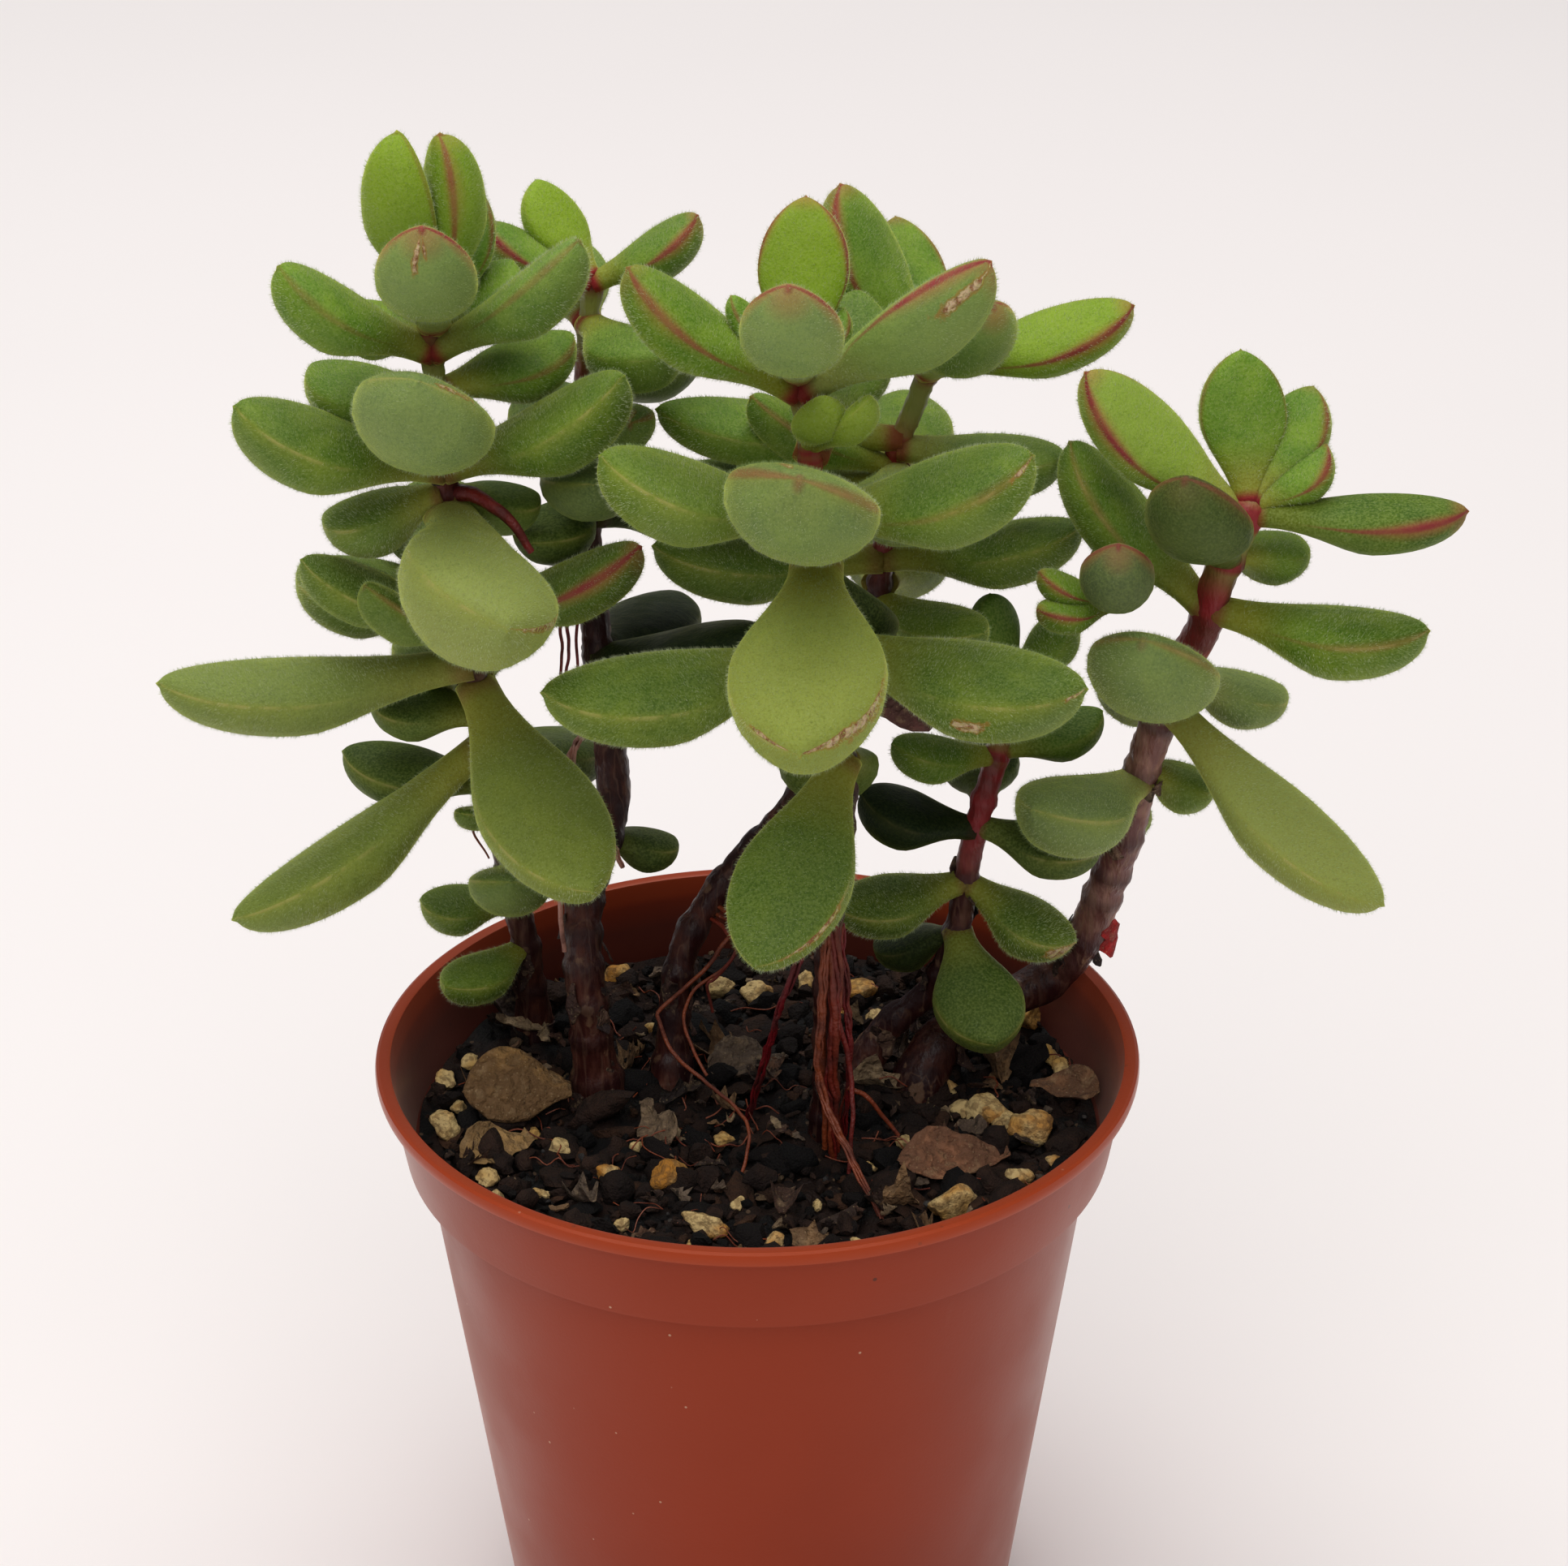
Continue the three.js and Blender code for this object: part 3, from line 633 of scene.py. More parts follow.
pumice, tree, shader, place = new_material("pumice")
cream = blend_colours(tree, mottled(tree, place, 150, 0.44, 0.62), colour(224, 194, 134),
                      colour(206, 160, 86))
orange = sums(tree, "ADD", marked(tree, "stain"), mottled(tree, place, 230, 0.7, 0.3))
cream = over(tree, cream, colour(196, 132, 48), span(tree, orange, 0.75, 1.5))
cream = over(tree, cream, colour(92, 68, 46), mottled(tree, place, 420, 0.58, 0.72, 5), 0.6)
pits = mottled(tree, place, 1500, 0.6, 0.44, 5)
cream = over(tree, cream, colour(118, 84, 48), span(tree, pits, 0, 1, 0.55, 0))
put(tree, shader.inputs["Base Color"], cream)
shader.inputs["Roughness"].default_value = 0.9
raise_surface(tree, shader, grained(tree, place, 1300, 4500), 0.0004)

for number, row in enumerate(PUMICE, 1):
    finish_piece(new_grains("grain", [(*row, number)]), f"pumice_grain_{number}", pumice,
                 [f"pumice_{number}"])
SMALL_SEED = 20
small = new_grains("small", [(*row, SMALL_SEED + k) for k, row in enumerate(SMALL_PUMICE)])
finish_piece(small, "small_pumice_grains", pumice)

# %% [markdown]
# The stems come next. The routes, the radii and the leaves are those of the CAD. A route
# runs from the foot to the top in mm, and each leaf is (height on the stem, swing, rise,
# length, width, curl, plump): swing 270 points to the front, and rise is the angle above
# level.

# %% Table of stems
STEMS = {
    "stem_left": {
        "radii": (2.5, 1.6),
        "route": [
            (-26, 20, 60), (-26.5, 17, 77), (-28, 15.5, 88), (-29.5, 11, 107.5), (-30.7, 8, 118),
            (-32, 6, 130), (-32.2, 5, 140), (-32.6, 4, 148), (-33, 3, 157), (-32.5, 3, 160),
        ],
        "leaves": [
            (158.5, 190, 83, 21.5, 9, 8, 1.2), (158.5, 350, 86, 21, 9, 8, 1.2),
            (159, 272, 49, 20, 10.5, 15), (158.5, 75, 50, 17, 9), (157, 148, 12, 11, 9),
            (157, 45, 28, 13, 9.5), (156, 192, 35, 18.5, 11, 15), (156, 355, 39, 20, 11, 15),
            (146.5, 268, 36, 22, 15, 15), (151.5, 35, 9, 17, 10), (149, 143, 4, 18, 10.5),
            (142.5, 190, 22, 23, 13, 15), (142.5, 350, 31, 22.5, 13, 15),
            (137, 286, -2, 28, 17, -5, 1.18), (139.5, 160, -18, 15.5, 11), (139.5, 30, -14, 11, 9),
            (131, 100, 0, 24, 13), (126, 150, 0, 21, 13), (124, 350, 27, 22, 10.5),
            (124, 185, 25, 18.5, 9.5), (121.5, 213, 38, 15, 8.5),
            (118.5, 188, 0, 33.5, 14, 18, 0.85),
            (115.5, 298, -23, 31, 14, 12), (117, 105, -10, 26, 13), (111, 155, 2, 14, 9.5),
            (107.5, 200, -29, 34, 12.5, 12), (106, 65, -20, 26, 12), (101.5, 170, 9, 17.5, 10),
            (98, 240, 20, 8, 4.5), (89, 275, 22, 12, 9.5), (84.5, 175, 0, 11, 8.5),
            (78.5, 227, -1, 12.5, 8),
        ],
    },
    "stem_rear_left": {
        "radii": (3.4, 1.5),
        "route": [
            (-17.5, 4.5, 60), (-19, 4, 78), (-19.3, 7, 88.5), (-16.2, 12, 98), (-16.2, 14, 105),
            (-17.6, 17, 118.5), (-18.3, 19, 130.5), (-18.2, 20, 143), (-17.7, 21, 152),
            (-17, 21, 158),
        ],
        "leaves": [
            (157.5, 130, 42, 13, 7.5), (157, 5, 33, 13.5, 8.5), (157, 172, 29, 13, 8),
            (152.5, 300, 5, 17, 10.5), (152.5, 105, 12, 20, 10), (143.5, 296, 10, 12, 9.5),
            (144, 60, 5, 22, 11), (138, 275, 12, 18, 11), (138, 105, 0, 22, 12),
            (133.5, 242, -6, 12, 9.5), (131, 45, -5, 23, 12), (115, 336, 18, 21, 13, 5),
            (116, 70, -8, 24, 12), (95.5, 35, -18, 10, 8),
        ],
    },
    "stem_centre": {
        "radii": (2.2, 1.6),
        "route": [
            (8, -4, 60), (7.5, -6, 80), (8, -7, 94), (9.2, -7, 104), (9.5, -7, 113),
            (7.8, -8, 122), (6.6, -9, 137), (6.2, -9, 143), (5.9, -9, 150), (4.9, -9, 156),
            (4.7, -9, 159),
        ],
        "leaves": [
            (158.5, 84, 62, 17.5, 9.5), (158, 266, 46, 20, 10.5, 15), (158.5, 40, 40, 8, 5),
            (158.5, 160, 45, 10, 5), (156, 178, 38, 21.5, 11), (156, 358, 37, 23.5, 11.5),
            (150, 290, 62, 8, 6), (150, 335, 45, 9.5, 6), (144.8, 266, 27, 22, 16, 15),
            (149, 75, 28, 23, 11), (142, 185, 21, 23, 13.5), (142, 355, 20, 23.5, 14),
            (137.3, 266, -16, 29, 16.3, -8, 1.15), (137, 60, -42, 18, 10),
            (127, 185, -6, 29.5, 14, 18),
            (128, 350, -6, 27.5, 15, 12), (114, 245, -32, 26, 13, -5), (114, 98, -24, 18, 11),
        ],
    },
    "stem_rear_centre": {
        "radii": (2.8, 1.7),
        "route": [
            (-10, 5, 60), (-9, 9, 79), (-4.5, 12, 88), (4, 14.5, 97.5), (10.5, 16, 107.5),
            (13, 16.5, 117), (14, 16, 127), (15.3, 16, 139), (17.2, 16, 144.5), (19, 15, 150),
        ],
        "leaves": [
            (149.5, 150, 60, 21.5, 11), (149.5, 0, 18, 22.5, 9.5), (149.5, 103, 39, 19, 9),
            (149, 297, 42, 18, 10), (141, 180, 8, 26.5, 10.5, 5), (140, 352, 0, 18, 11, 5),
            (137, 273, 13, 20, 12), (136, 180, 2, 25, 11), (137.5, 197, 33, 19, 9),
            (137, 85, 0, 24, 12), (127, 355, 12, 22, 11), (127, 180, 4, 25, 12),
            (124, 80, -8, 25, 12), (122, 314, 4, 16, 9), (119.5, 10, -26, 24.5, 8.5),
        ],
    },
    "stem_right": {
        "radii": (2.4, 1.7),
        "route": [
            (18, 4, 60), (18.5, 6, 67), (22.5, 9, 72), (28.5, 12.5, 73.5), (34, 14, 76),
            (37.2, 13, 81.5), (39.2, 12, 88), (41, 10, 96), (42.8, 9, 105.5), (45.3, 7, 115.5),
            (48.3, 5, 124), (49.2, 4, 129), (51.7, 3, 137), (52.5, 3, 139.5),
        ],
        "leaves": [
            (138.5, 95, 60, 16.5, 9.5), (138.5, 50, 42, 15, 8.5), (138, 25, 34, 11, 8.5),
            (137, 170, 42, 23, 10.8, 5), (137.5, 355, 3, 23, 9.5, 5), (132, 243, 47, 19.5, 11.5),
            (132.5, 45, -8, 12, 9), (125.5, 160, 48, 23.5, 11.5, 5), (126, 350, -2, 23.2, 12, 20),
            (116.3, 251, 37, 19.5, 14.5, 15), (117, 30, -20, 15.5, 10), (113.5, 325, -31, 32, 12),
            (111, 92, -5, 22, 11), (103, 222, 8, 17, 13.5, 15), (104.5, 25, -20, 9.5, 9),
            (96, 95, -10, 18, 10),
        ],
        "bud_foot": (38.2, 0.2, 128.5),
        "bud": [(266, 58, 11, 8, 10, 1.5), (180, 25, 9, 5.5), (200, 5, 9, 6), (80, 35, 9, 7)],
    },
    "stem_small": {
        "radii": (2, 1.4),
        "route": [
            (11, 8, 60), (12, 8.5, 67), (15, 9.5, 72), (20, 9.5, 77), (22.5, 9, 84.5),
            (23.3, 8.5, 91), (24.3, 8.5, 97.5), (26.5, 9.5, 106), (28, 11, 113), (28.7, 12, 116),
        ],
        "leaves": [
            (114.8, 138, 68, 9.5, 7), (114.8, 15, 48, 9, 7.5), (106, 190, 13, 12, 8.2),
            (106.5, 22, 12, 13, 8), (97.5, 180, 20, 13.5, 10), (98, 350, -8, 14, 9),
            (91, 190, -6, 15, 10), (91, 345, -25, 14, 10), (84.5, 285, -25, 16, 10.5),
            (84, 150, -20, 11, 8), (101, 90, 5, 15, 9),
        ],
    },
}


def smooth_line(route, step=0.6):
    """Points about every step mm on a smooth curve through the route."""
    ends = np.array(route, float)
    ends = np.vstack([2 * ends[0] - ends[1], ends, 2 * ends[-1] - ends[-2]])
    line = []
    for a, b, c, d in zip(ends, ends[1:], ends[2:], ends[3:]):
        count = max(2, round(np.linalg.norm(c - b) / step))
        for t in np.arange(count) / count:
            line.append(0.5 * (2 * b + (c - a) * t + (2 * a - 5 * b + 4 * c - d) * t ** 2
                               + (3 * b - a - 3 * c + d) * t ** 3))
    return np.array(line + [ends[-2]])


def stem_point(route, height):
    """The point of the route at a height, on the straight line between its neighbours."""
    for low, high in zip(route, route[1:]):
        if high[2] >= height:
            break
    share = (height - low[2]) / (high[2] - low[2])
    return np.array(low) + share * (np.array(high) - np.array(low))


print(sum(len(stem["leaves"]) for stem in STEMS.values()), "leaves on", len(STEMS), "stems")

# %% [markdown]
# Wood is a round bar that follows a line, so a curve with a bevel is the quickest start. It
# is turned to a mesh, and a displace modifier roughens it. The rings where leaves sat are
# swellings of the radius. The mark "wood" tells how far a point is from the top of its stem,
# how near to a ring, and how much the sun has bleached it, so that young wood is crimson and
# old wood is brown.

# %% Rods and their bark
def rods(name, lines, resolution):
    """A mesh of round rods. Each line is its points and a radius for each point, in mm."""
    data = bpy.data.curves.new(name, "CURVE")
    data.dimensions = "3D"
    data.bevel_depth = MM
    data.bevel_resolution = resolution
    data.use_fill_caps = True
    for points, radii in lines:
        spline = data.splines.new("POLY")
        spline.points.add(len(points) - 1)
        for point, place, radius in zip(spline.points, points, radii):
            point.co = (*(place * MM), 1)
            point.radius = radius
    piece = bpy.data.objects.new(name, data)
    bpy.context.scene.collection.objects.link(piece)
    bpy.ops.object.select_all(action="DESELECT")
    bpy.context.view_layer.objects.active = piece
    piece.select_set(True)
    bpy.ops.object.convert(target="MESH")
    piece = bpy.context.object
    piece.select_set(False)
    return piece


def nearest_on(line, points):
    """For each point, the number of the line's point that lies nearest."""
    found = KDTree(len(line))
    for number, place in enumerate(line):
        found.insert(place, number)
    found.balance()
    return np.array([found.find(point)[1] for point in points])


def roughen(piece, size, strength, name="bark"):
    """Pushes the points in and out along their normals by a cloud texture."""
    cloud = bpy.data.textures.new(name, "CLOUDS")
    cloud.noise_scale = size * MM
    cloud.noise_depth = 3
    push = piece.modifiers.new(name, "DISPLACE")
    push.texture, push.texture_coords = cloud, "LOCAL"
    push.strength, push.mid_level = strength * MM, 0.5
    bpy.context.view_layer.objects.active = piece
    bpy.ops.object.modifier_apply(modifier=name)


bark_wood, tree, shader, place = new_material("stem_wood")
from_top, ring, paler = (marked(tree, "wood", axis) for axis in "XYZ")


def aged(dark, bleached):
    """A colour of old wood, from shaded bark to bark that the sun has bleached."""
    return blend_colours(tree, paler, colour(*dark), colour(*bleached))


streaks = mottled(tree, stretched(tree, place, 0.22), 900, 0.38, 0.66, 5)
deep = mottled(tree, place, 170, 0.42, 0.62)
old = blend_colours(tree, streaks, aged((58, 24, 22), (124, 80, 72)),
                    aged((88, 46, 34), (164, 122, 108)))
old = over(tree, old, aged((42, 16, 17), (104, 62, 58)), deep)
splits = mottled(tree, stretched(tree, place, 0.1), 480, 0.46, 0.54, 2)
splits = sums(tree, "MULTIPLY", sums(tree, "MULTIPLY", splits, 4),
              sums(tree, "SUBTRACT", 1, splits))
old = over(tree, old, colour(138, 104, 84), splits, span(tree, paler, 0, 1, 0.22, 0.5))
flakes = mottled(tree, place, 260, 0.63, 0.67, 6)
old = over(tree, old, colour(158, 122, 92), flakes, span(tree, paler, 0, 1, 0.35, 0.8))
crimson = blend_colours(tree, deep, colour(142, 38, 42), colour(104, 40, 36))
young = over(tree, colour(134, 136, 68), crimson,
             sums(tree, "MAXIMUM", ring, span(tree, from_top, 5, 12)))
shade = over(tree, young, old, span(tree, from_top, 15, 29))
shade = over(tree, shade, colour(38, 20, 22), ring, span(tree, from_top, 14, 24, 0, 0.55))
put(tree, shader.inputs["Base Color"], shade)
put(tree, shader.inputs["Roughness"], span(tree, streaks, 0, 1, 0.34, 0.62))
shader.inputs["Specular IOR Level"].default_value = 0.3
raise_surface(tree, shader, grained(tree, stretched(tree, place, 0.35), 1100, 3000), 0.0003)
print("finish of the wood:", bark_wood.name)

# %% [markdown]
# Each stem's radius runs from its foot to its top, with a wider foot in the soil, a swelling
# at each ring and a groove just over it.

# %% Wood of each stem
SLIM = {"stem_left": 0.7, "stem_rear_left": 0.74, "stem_centre": 0.66, "stem_rear_centre": 0.66,
        "stem_right": 1.04, "stem_small": 0.86}
PALE_WOOD = {"stem_right": 1.0, "stem_left": 0.35, "stem_small": 0.25}
LOWEST_RING, FOOT_HEIGHT, PALE_FROM = 71, 66, 76
WOOD = {}


def wood_rings(stem):
    """Heights of the rings: where leaves sit, and older scars under them."""
    heights = sorted({row[0] for row in stem["leaves"]})
    low = heights[0]
    while low > LOWEST_RING:
        low -= rng.uniform(3.2, 6.5)
        heights.insert(0, low)
    return np.array(heights)


def bell(offset, width):
    """1 at no offset, and falling to nothing on both sides."""
    return np.exp(-(offset / width) ** 2)


for name, stem in STEMS.items():
    line = smooth_line(stem["route"])
    height = line[:, 2]
    foot_radius, top_radius = stem["radii"]
    radii = foot_radius + (top_radius - foot_radius) * np.linspace(0, 1, len(line))
    above = height[:, None] - wood_rings(stem)[None, :]
    near = bell(above, 0.9).max(axis=1)
    radii = radii * SLIM[name] + 0.8 * bell(height - FOOT_HEIGHT, 4)
    radii += 0.26 * near - 0.14 * bell(above - 1.3, 0.45).max(axis=1)
    radii[-3:] *= (0.9, 0.7, 0.4)
    wood = rods("wood", [(line, radii)], 5)
    spot = nearest_on(line * MM, points_of(wood))
    pale = np.clip((height[spot] - PALE_FROM) / 8, 0, 1) * PALE_WOOD.get(name, 0)
    mark_points(wood.data, "wood", np.column_stack([height[-1] - height[spot], near[spot], pale]))
    WOOD[name] = line, radii
    roughen(wood, 0.9, 0.4)
    finish_piece(wood, f"wood_{name[5:]}", bark_wood, [name])


# %% [markdown]
# One leaf is modelled with a length and a width of 1: a round section is extruded along its
# length and resized station by station. The upper half is then flattened and the lower half
# kept plump, and they meet in a rounded edge.

# %% Model one leaf
STATIONS = [0, 0.04, 0.09, 0.15, 0.21, 0.27, 0.33, 0.39, 0.45, 0.51, 0.57, 0.63, 0.69, 0.75,
            0.8, 0.85, 0.89, 0.925, 0.955, 0.977, 0.99, 0.998]
TIP = 1.012
AROUND = 28
UPPER, LOWER, STALK = 0.145, 0.44, 0.13
WIDEST = 0.58


def eased(t, low, high):
    t = min(max((t - low) / (high - low), 0), 1)
    return t * t * (3 - 2 * t)


def leaf_section(t):
    """Half width, upper height and lower height at t of the length, as shares of the width."""
    if t <= WIDEST:
        head = eased(t, 0.05, WIDEST)
        half = 0.36 + 0.64 * head
        head *= half
        return half / 2, STALK + (UPPER - STALK) * head, STALK + (LOWER - STALK) * head
    half = (1 - ((t - WIDEST) / (1 - WIDEST)) ** 2.25) ** 0.7
    return half / 2, UPPER * half ** 0.6, LOWER * half ** 0.66


bpy.ops.mesh.primitive_circle_add(
    vertices=AROUND, radius=1, fill_type="NGON", location=(0, 0, 0), rotation=(0, math.pi / 2, 0))
blade = bpy.context.object
bpy.ops.object.transform_apply(location=True, rotation=True, scale=True)
start_editing(blade)
bpy.ops.mesh.select_all(action="SELECT")
half, _, lower = leaf_section(0)
bpy.ops.transform.resize(value=(1, half, lower))
for before, t in zip(STATIONS, STATIONS[1:]):
    old_half, _, old_lower = leaf_section(before)
    half, _, lower = leaf_section(t)
    bpy.ops.mesh.extrude_region_move(TRANSFORM_OT_translate={"value": (t - before, 0, 0)})
    bpy.ops.transform.resize(value=(1, half / old_half, lower / old_lower),
                             center_override=(t, 0, 0))
bpy.ops.mesh.extrude_region_move(TRANSFORM_OT_translate={"value": (TIP - STATIONS[-1], 0, 0)})
bpy.ops.mesh.merge(type="CENTER")
bpy.ops.mesh.select_all(action="SELECT")
bpy.ops.mesh.normals_make_consistent(inside=False)
BLADE, BLADE_FACES = in_order(*take_mesh(stop_editing()))

T = BLADE[:, 0]
HALF_WIDTH, UPPER_HEIGHT, LOWER_HEIGHT = np.array([leaf_section(min(t, 0.9999)) for t in T]).T
TURN = np.arctan2(BLADE[:, 2] / LOWER_HEIGHT, BLADE[:, 1] / HALF_WIDTH)
across = np.minimum(np.abs(BLADE[:, 1]) / HALF_WIDTH, 1)
BLADE[:, 2] = np.where(BLADE[:, 2] > 0, UPPER_HEIGHT * (1 - across ** 2.4) ** 0.66,
                       -LOWER_HEIGHT * (1 - across ** 2.7) ** 0.66)
belly = np.clip(-BLADE[:, 2] / np.maximum(LOWER_HEIGHT, 1e-6), 0, 1)
BLADE[:, 1] *= 0.965 + 0.085 * np.sin(math.pi * np.minimum(belly * 1.1, 1)) * np.clip(T * 4, 0, 1)
FROM_EDGE = np.arcsin(np.clip(np.sin(TURN), -1, 1)) / (math.pi / 2)
FROM_EDGE[T > 0.9999] = 0
print("one leaf:", len(BLADE), "points and", len(BLADE_FACES), "faces")

# %% [markdown]
# Every leaf of the plant is a copy of that blade. It is stretched to its own length and
# width, bent along its length, turned to its swing and rise, and rolled a little about its
# own length. Marks keep its frost with painted sheen, its age, how red its edge is, its painted
# light and shade, its corky scars, and the place on the leaf: from foot to tip, and from -1 under
# the leaf through 0 at its edge to 1 on top.

# %% Shape the copies
def leaf_places(base, row, flat=1.0, roll=0.0):
    """The blade's points in mm for one leaf of the table."""
    swing, rise, length, width, curl, plump = (list(row) + [10, 1][len(row) - 4:])[:6]
    swing, rise, roll = (math.radians(angle) for angle in (swing, rise, roll))
    chord = np.array([math.cos(swing) * math.cos(rise), math.sin(swing) * math.cos(rise),
                      math.sin(rise)])
    side = np.array([-math.sin(swing), math.cos(swing), 0])
    up = np.cross(chord, side)
    bend = math.radians(curl) * length / 2
    along = chord - up * (bend / length) * (1 - 2 * T)[:, None]
    along /= np.linalg.norm(along, axis=1)[:, None]
    normal = np.cross(along, side)
    fuller = 1 + (plump - 1) * np.clip((T - 0.05) / 0.53, 0, 1)
    across = BLADE[:, 1] * width
    height = BLADE[:, 2] * width * flat * np.where(BLADE[:, 2] < 0, fuller, 1)
    lean = roll * np.clip(T * 3, 0, 1)
    across, height = (across * np.cos(lean) - height * np.sin(lean),
                      across * np.sin(lean) + height * np.cos(lean))
    middle = base + chord * length * T[:, None] - up * (bend * T * (1 - T))[:, None]
    return middle + side * across[:, None] + normal * height[:, None]


def leaf_marks(length, width, age, red, painted_light, scars=(), frost_and_painted_sheen=0.0):
    """Marks for one leaf: its place marks, its kind marks and its scars."""
    place = np.column_stack([T, FROM_EDGE, np.full(len(T), frost_and_painted_sheen)])
    kind = np.tile([age, red, painted_light], (len(T), 1))
    scar = np.zeros(len(T))
    for t, turn, reach, spread in scars:
        off = (np.degrees(TURN) - turn + 180) % 360 - 180
        gap = np.hypot((T - t) * length / reach, np.radians(off) * width * 0.4 / spread)
        scar = np.maximum(scar, np.clip(1.4 - gap, 0, 1))
    return place, kind, scar


# %% [markdown]
# The leaves of a stem are counted from the top, as in the table of stems. Painted light above 0
# makes a leaf paler and yellower, and below 0 it is painted shade that darkens the leaf. A scar is
# its share of the length, its angle round the section, and its half length and half width in mm,
# and a roll is in degrees. A bud's leaf that swings past 260 degrees gets painted shade under a
# pale frost.

# %% Looks of single leaves
# Painted light of each stem and of single leaves: above 0 it lightens a leaf, below 0 it is painted
# shade.
STEM_PAINTED_LIGHT = {"stem_left": 0, "stem_rear_left": -0.25, "stem_centre": 0.1, "stem_rear_centre": -0.1,
             "stem_right": 0, "stem_small": -0.45}
LEAF_PAINTED_LIGHT = {
    "stem_left": {
        0: 0.45, 1: 0.3, 4: 0.2, 5: 0.2, 13: 0.65, 15: -0.6, 16: -0.5, 17: -0.2, 21: 0.2, 22: 0.25,
        23: -0.5, 24: -0.6, 25: 0.35, 26: -0.5, 27: -0.5, 28: -0.3},
    "stem_rear_left": {
        0: 0.7, 6: -0.7, 7: -0.6, 8: -0.6, 9: -0.6, 10: -0.9, 11: -1, 12: -1, 13: -0.6},
    "stem_centre": {
        0: 0.85, 4: -0.2, 6: 0.7, 7: 0.8, 9: -0.3, 12: 0.9, 13: -0.7, 14: -0.05, 15: -0.1, 16: 0.2,
        17: -0.6},
    "stem_rear_centre": {1: 0.45, 10: -0.3, 12: -0.5, 14: -0.5},
    "stem_right": {0: 0.1, 1: 0.1, 3: 0.6, 4: -0.57, 5: -0.75, 8: -0.4, 11: 0.6, 15: -0.2},
    "stem_small": {4: -1.0, 5: -0.6, 9: -0.8, 10: -0.6},
}
RED_EDGES = {
    "stem_left": {0: 0.35, 1: 0.7, 2: 0.9, 3: 0.6, 6: 0.25, 7: 0.35, 9: 0.5, 18: 0.9, 20: 0.35},
    "stem_rear_left": {1: 0.9, 2: 1.0, 5: 0.5},
    "stem_centre": {0: 0.95, 1: 0.9, 2: 0.6, 3: 0.5, 4: 0.7, 5: 0.95, 8: 0.55, 11: 0.25},
    "stem_rear_centre": {0: 0.9, 1: 0.9, 2: 0.9, 3: 0.9, 6: 0.3, 8: 0.4},
    "stem_right": {0: 0.45, 1: 0.7, 2: 0.9, 3: 0.95, 4: 0.9, 5: 0.62, 7: 0.3, 8: 0.3, 9: 0.3},
    "stem_small": {},
}
# Pale frost of single leaves: partly real bloom and partly painted velvet sheen.
FROST_AND_PAINTED_SHEEN = {
    "stem_left": {2: 0.8, 7: 0.3, 8: 0.8, 13: 0.5, 21: 0.3, 29: 0.4},
    "stem_rear_left": {4: 0.4, 5: 0.4, 7: 0.5},
    "stem_centre": {1: 0.9, 4: 0, 5: 0.6, 8: 0.65, 12: 0.1},
    "stem_rear_centre": {3: 0.5, 5: 0.4, 6: 0.6},
    "stem_right": {3: 0.3, 4: 0, 5: 0, 8: 0, 9: 0.65, 10: 0.7, 11: 0.3, 13: 0.7},
    "stem_small": {},
}
SCARS = {
    ("stem_left", 2): [
        (0.96, -74, 1.2, 0.3), (0.94, -102, 1.5, 0.3), (0.72, -84, 0.6, 0.5),
        (0.78, -62, 0.4, 0.4)],
    ("stem_left", 8): [(0.9, 20, 2.2, 0.8)], ("stem_left", 13): [(0.84, 0, 4.6, 0.9)],
    ("stem_left", 14): [(0.7, 160, 5, 2.5)],
    ("stem_rear_left", 5): [(0.95, 90, 2, 2)],
    ("stem_centre", 5): [(0.8, 214, 3.2, 0.42), (0.88, 217, 4.4, 0.26)],
    ("stem_centre", 8): [(0.9, 120, 2, 0.7)], ("stem_centre", 11): [(0.97, 180, 1.4, 1)],
    ("stem_centre", 12): [(0.84, -4, 6, 1.0), (0.95, 8, 2.6, 1.4), (0.94, 165, 1.6, 1.1)],
    ("stem_centre", 15): [(0.6, 204, 1.6, 0.75), (0.98, 180, 1.2, 1)],
    ("stem_centre", 16): [(0.8, 0, 4, 0.8)],
    ("stem_small", 7): [(0.96, 200, 2, 1.4)],
}
ROLL = {
    ("stem_left", 0): 32, ("stem_left", 1): 34, ("stem_left", 7): -10, ("stem_left", 8): -14,
    ("stem_left", 13): -24, ("stem_left", 25): 14, ("stem_centre", 5): -38, ("stem_centre", 8): -12,
    ("stem_rear_centre", 1): 15, ("stem_right", 3): -22,
}
OLD_AFTER = 24
SHADED_BUD_SWING = 260


def stem_leaves(name, stem):
    """Places, marks, painted light and bases of every leaf of one stem."""
    top = max(row[0] for row in stem["leaves"])
    places, marks, painted_light_of_leaves, bases = [], [], [], []

    def keep(base, row, *looks, roll=0.0):
        places.append(leaf_places(base, row, roll=roll))
        marks.append(leaf_marks(row[2], row[3], *looks))
        painted_light_of_leaves.append(looks[2])
        bases.append(base)

    for index, (height, *row) in enumerate(stem["leaves"]):
        roll = ROLL.get((name, index), rng.uniform(-4, 4))
        age = min(max((top - height) / OLD_AFTER, 0), 1)
        # Painted light of this leaf, with a little random spread.
        painted_light = LEAF_PAINTED_LIGHT[name].get(index, STEM_PAINTED_LIGHT[name]) + rng.uniform(-0.12, 0.12)
        keep(stem_point(stem["route"], height), row, age, RED_EDGES[name].get(index, 0), painted_light,
             SCARS.get((name, index), ()), FROST_AND_PAINTED_SHEEN[name].get(index, 0.1), roll=roll)
    for row in stem.get("bud", ()):
        # The outer bud leaf gets painted shade and frost, the other bud leaves a little painted
        # light.
        looks = (0.8, 0.8, -0.75, (), 0.55) if row[0] > SHADED_BUD_SWING else (0.35, 0.8, 0.2)
        keep(np.array(stem["bud_foot"]), row, *looks)
    return places, marks, painted_light_of_leaves, bases


print("leaves with a look of their own:", sum(len(own) for own in LEAF_PAINTED_LIGHT.values()))
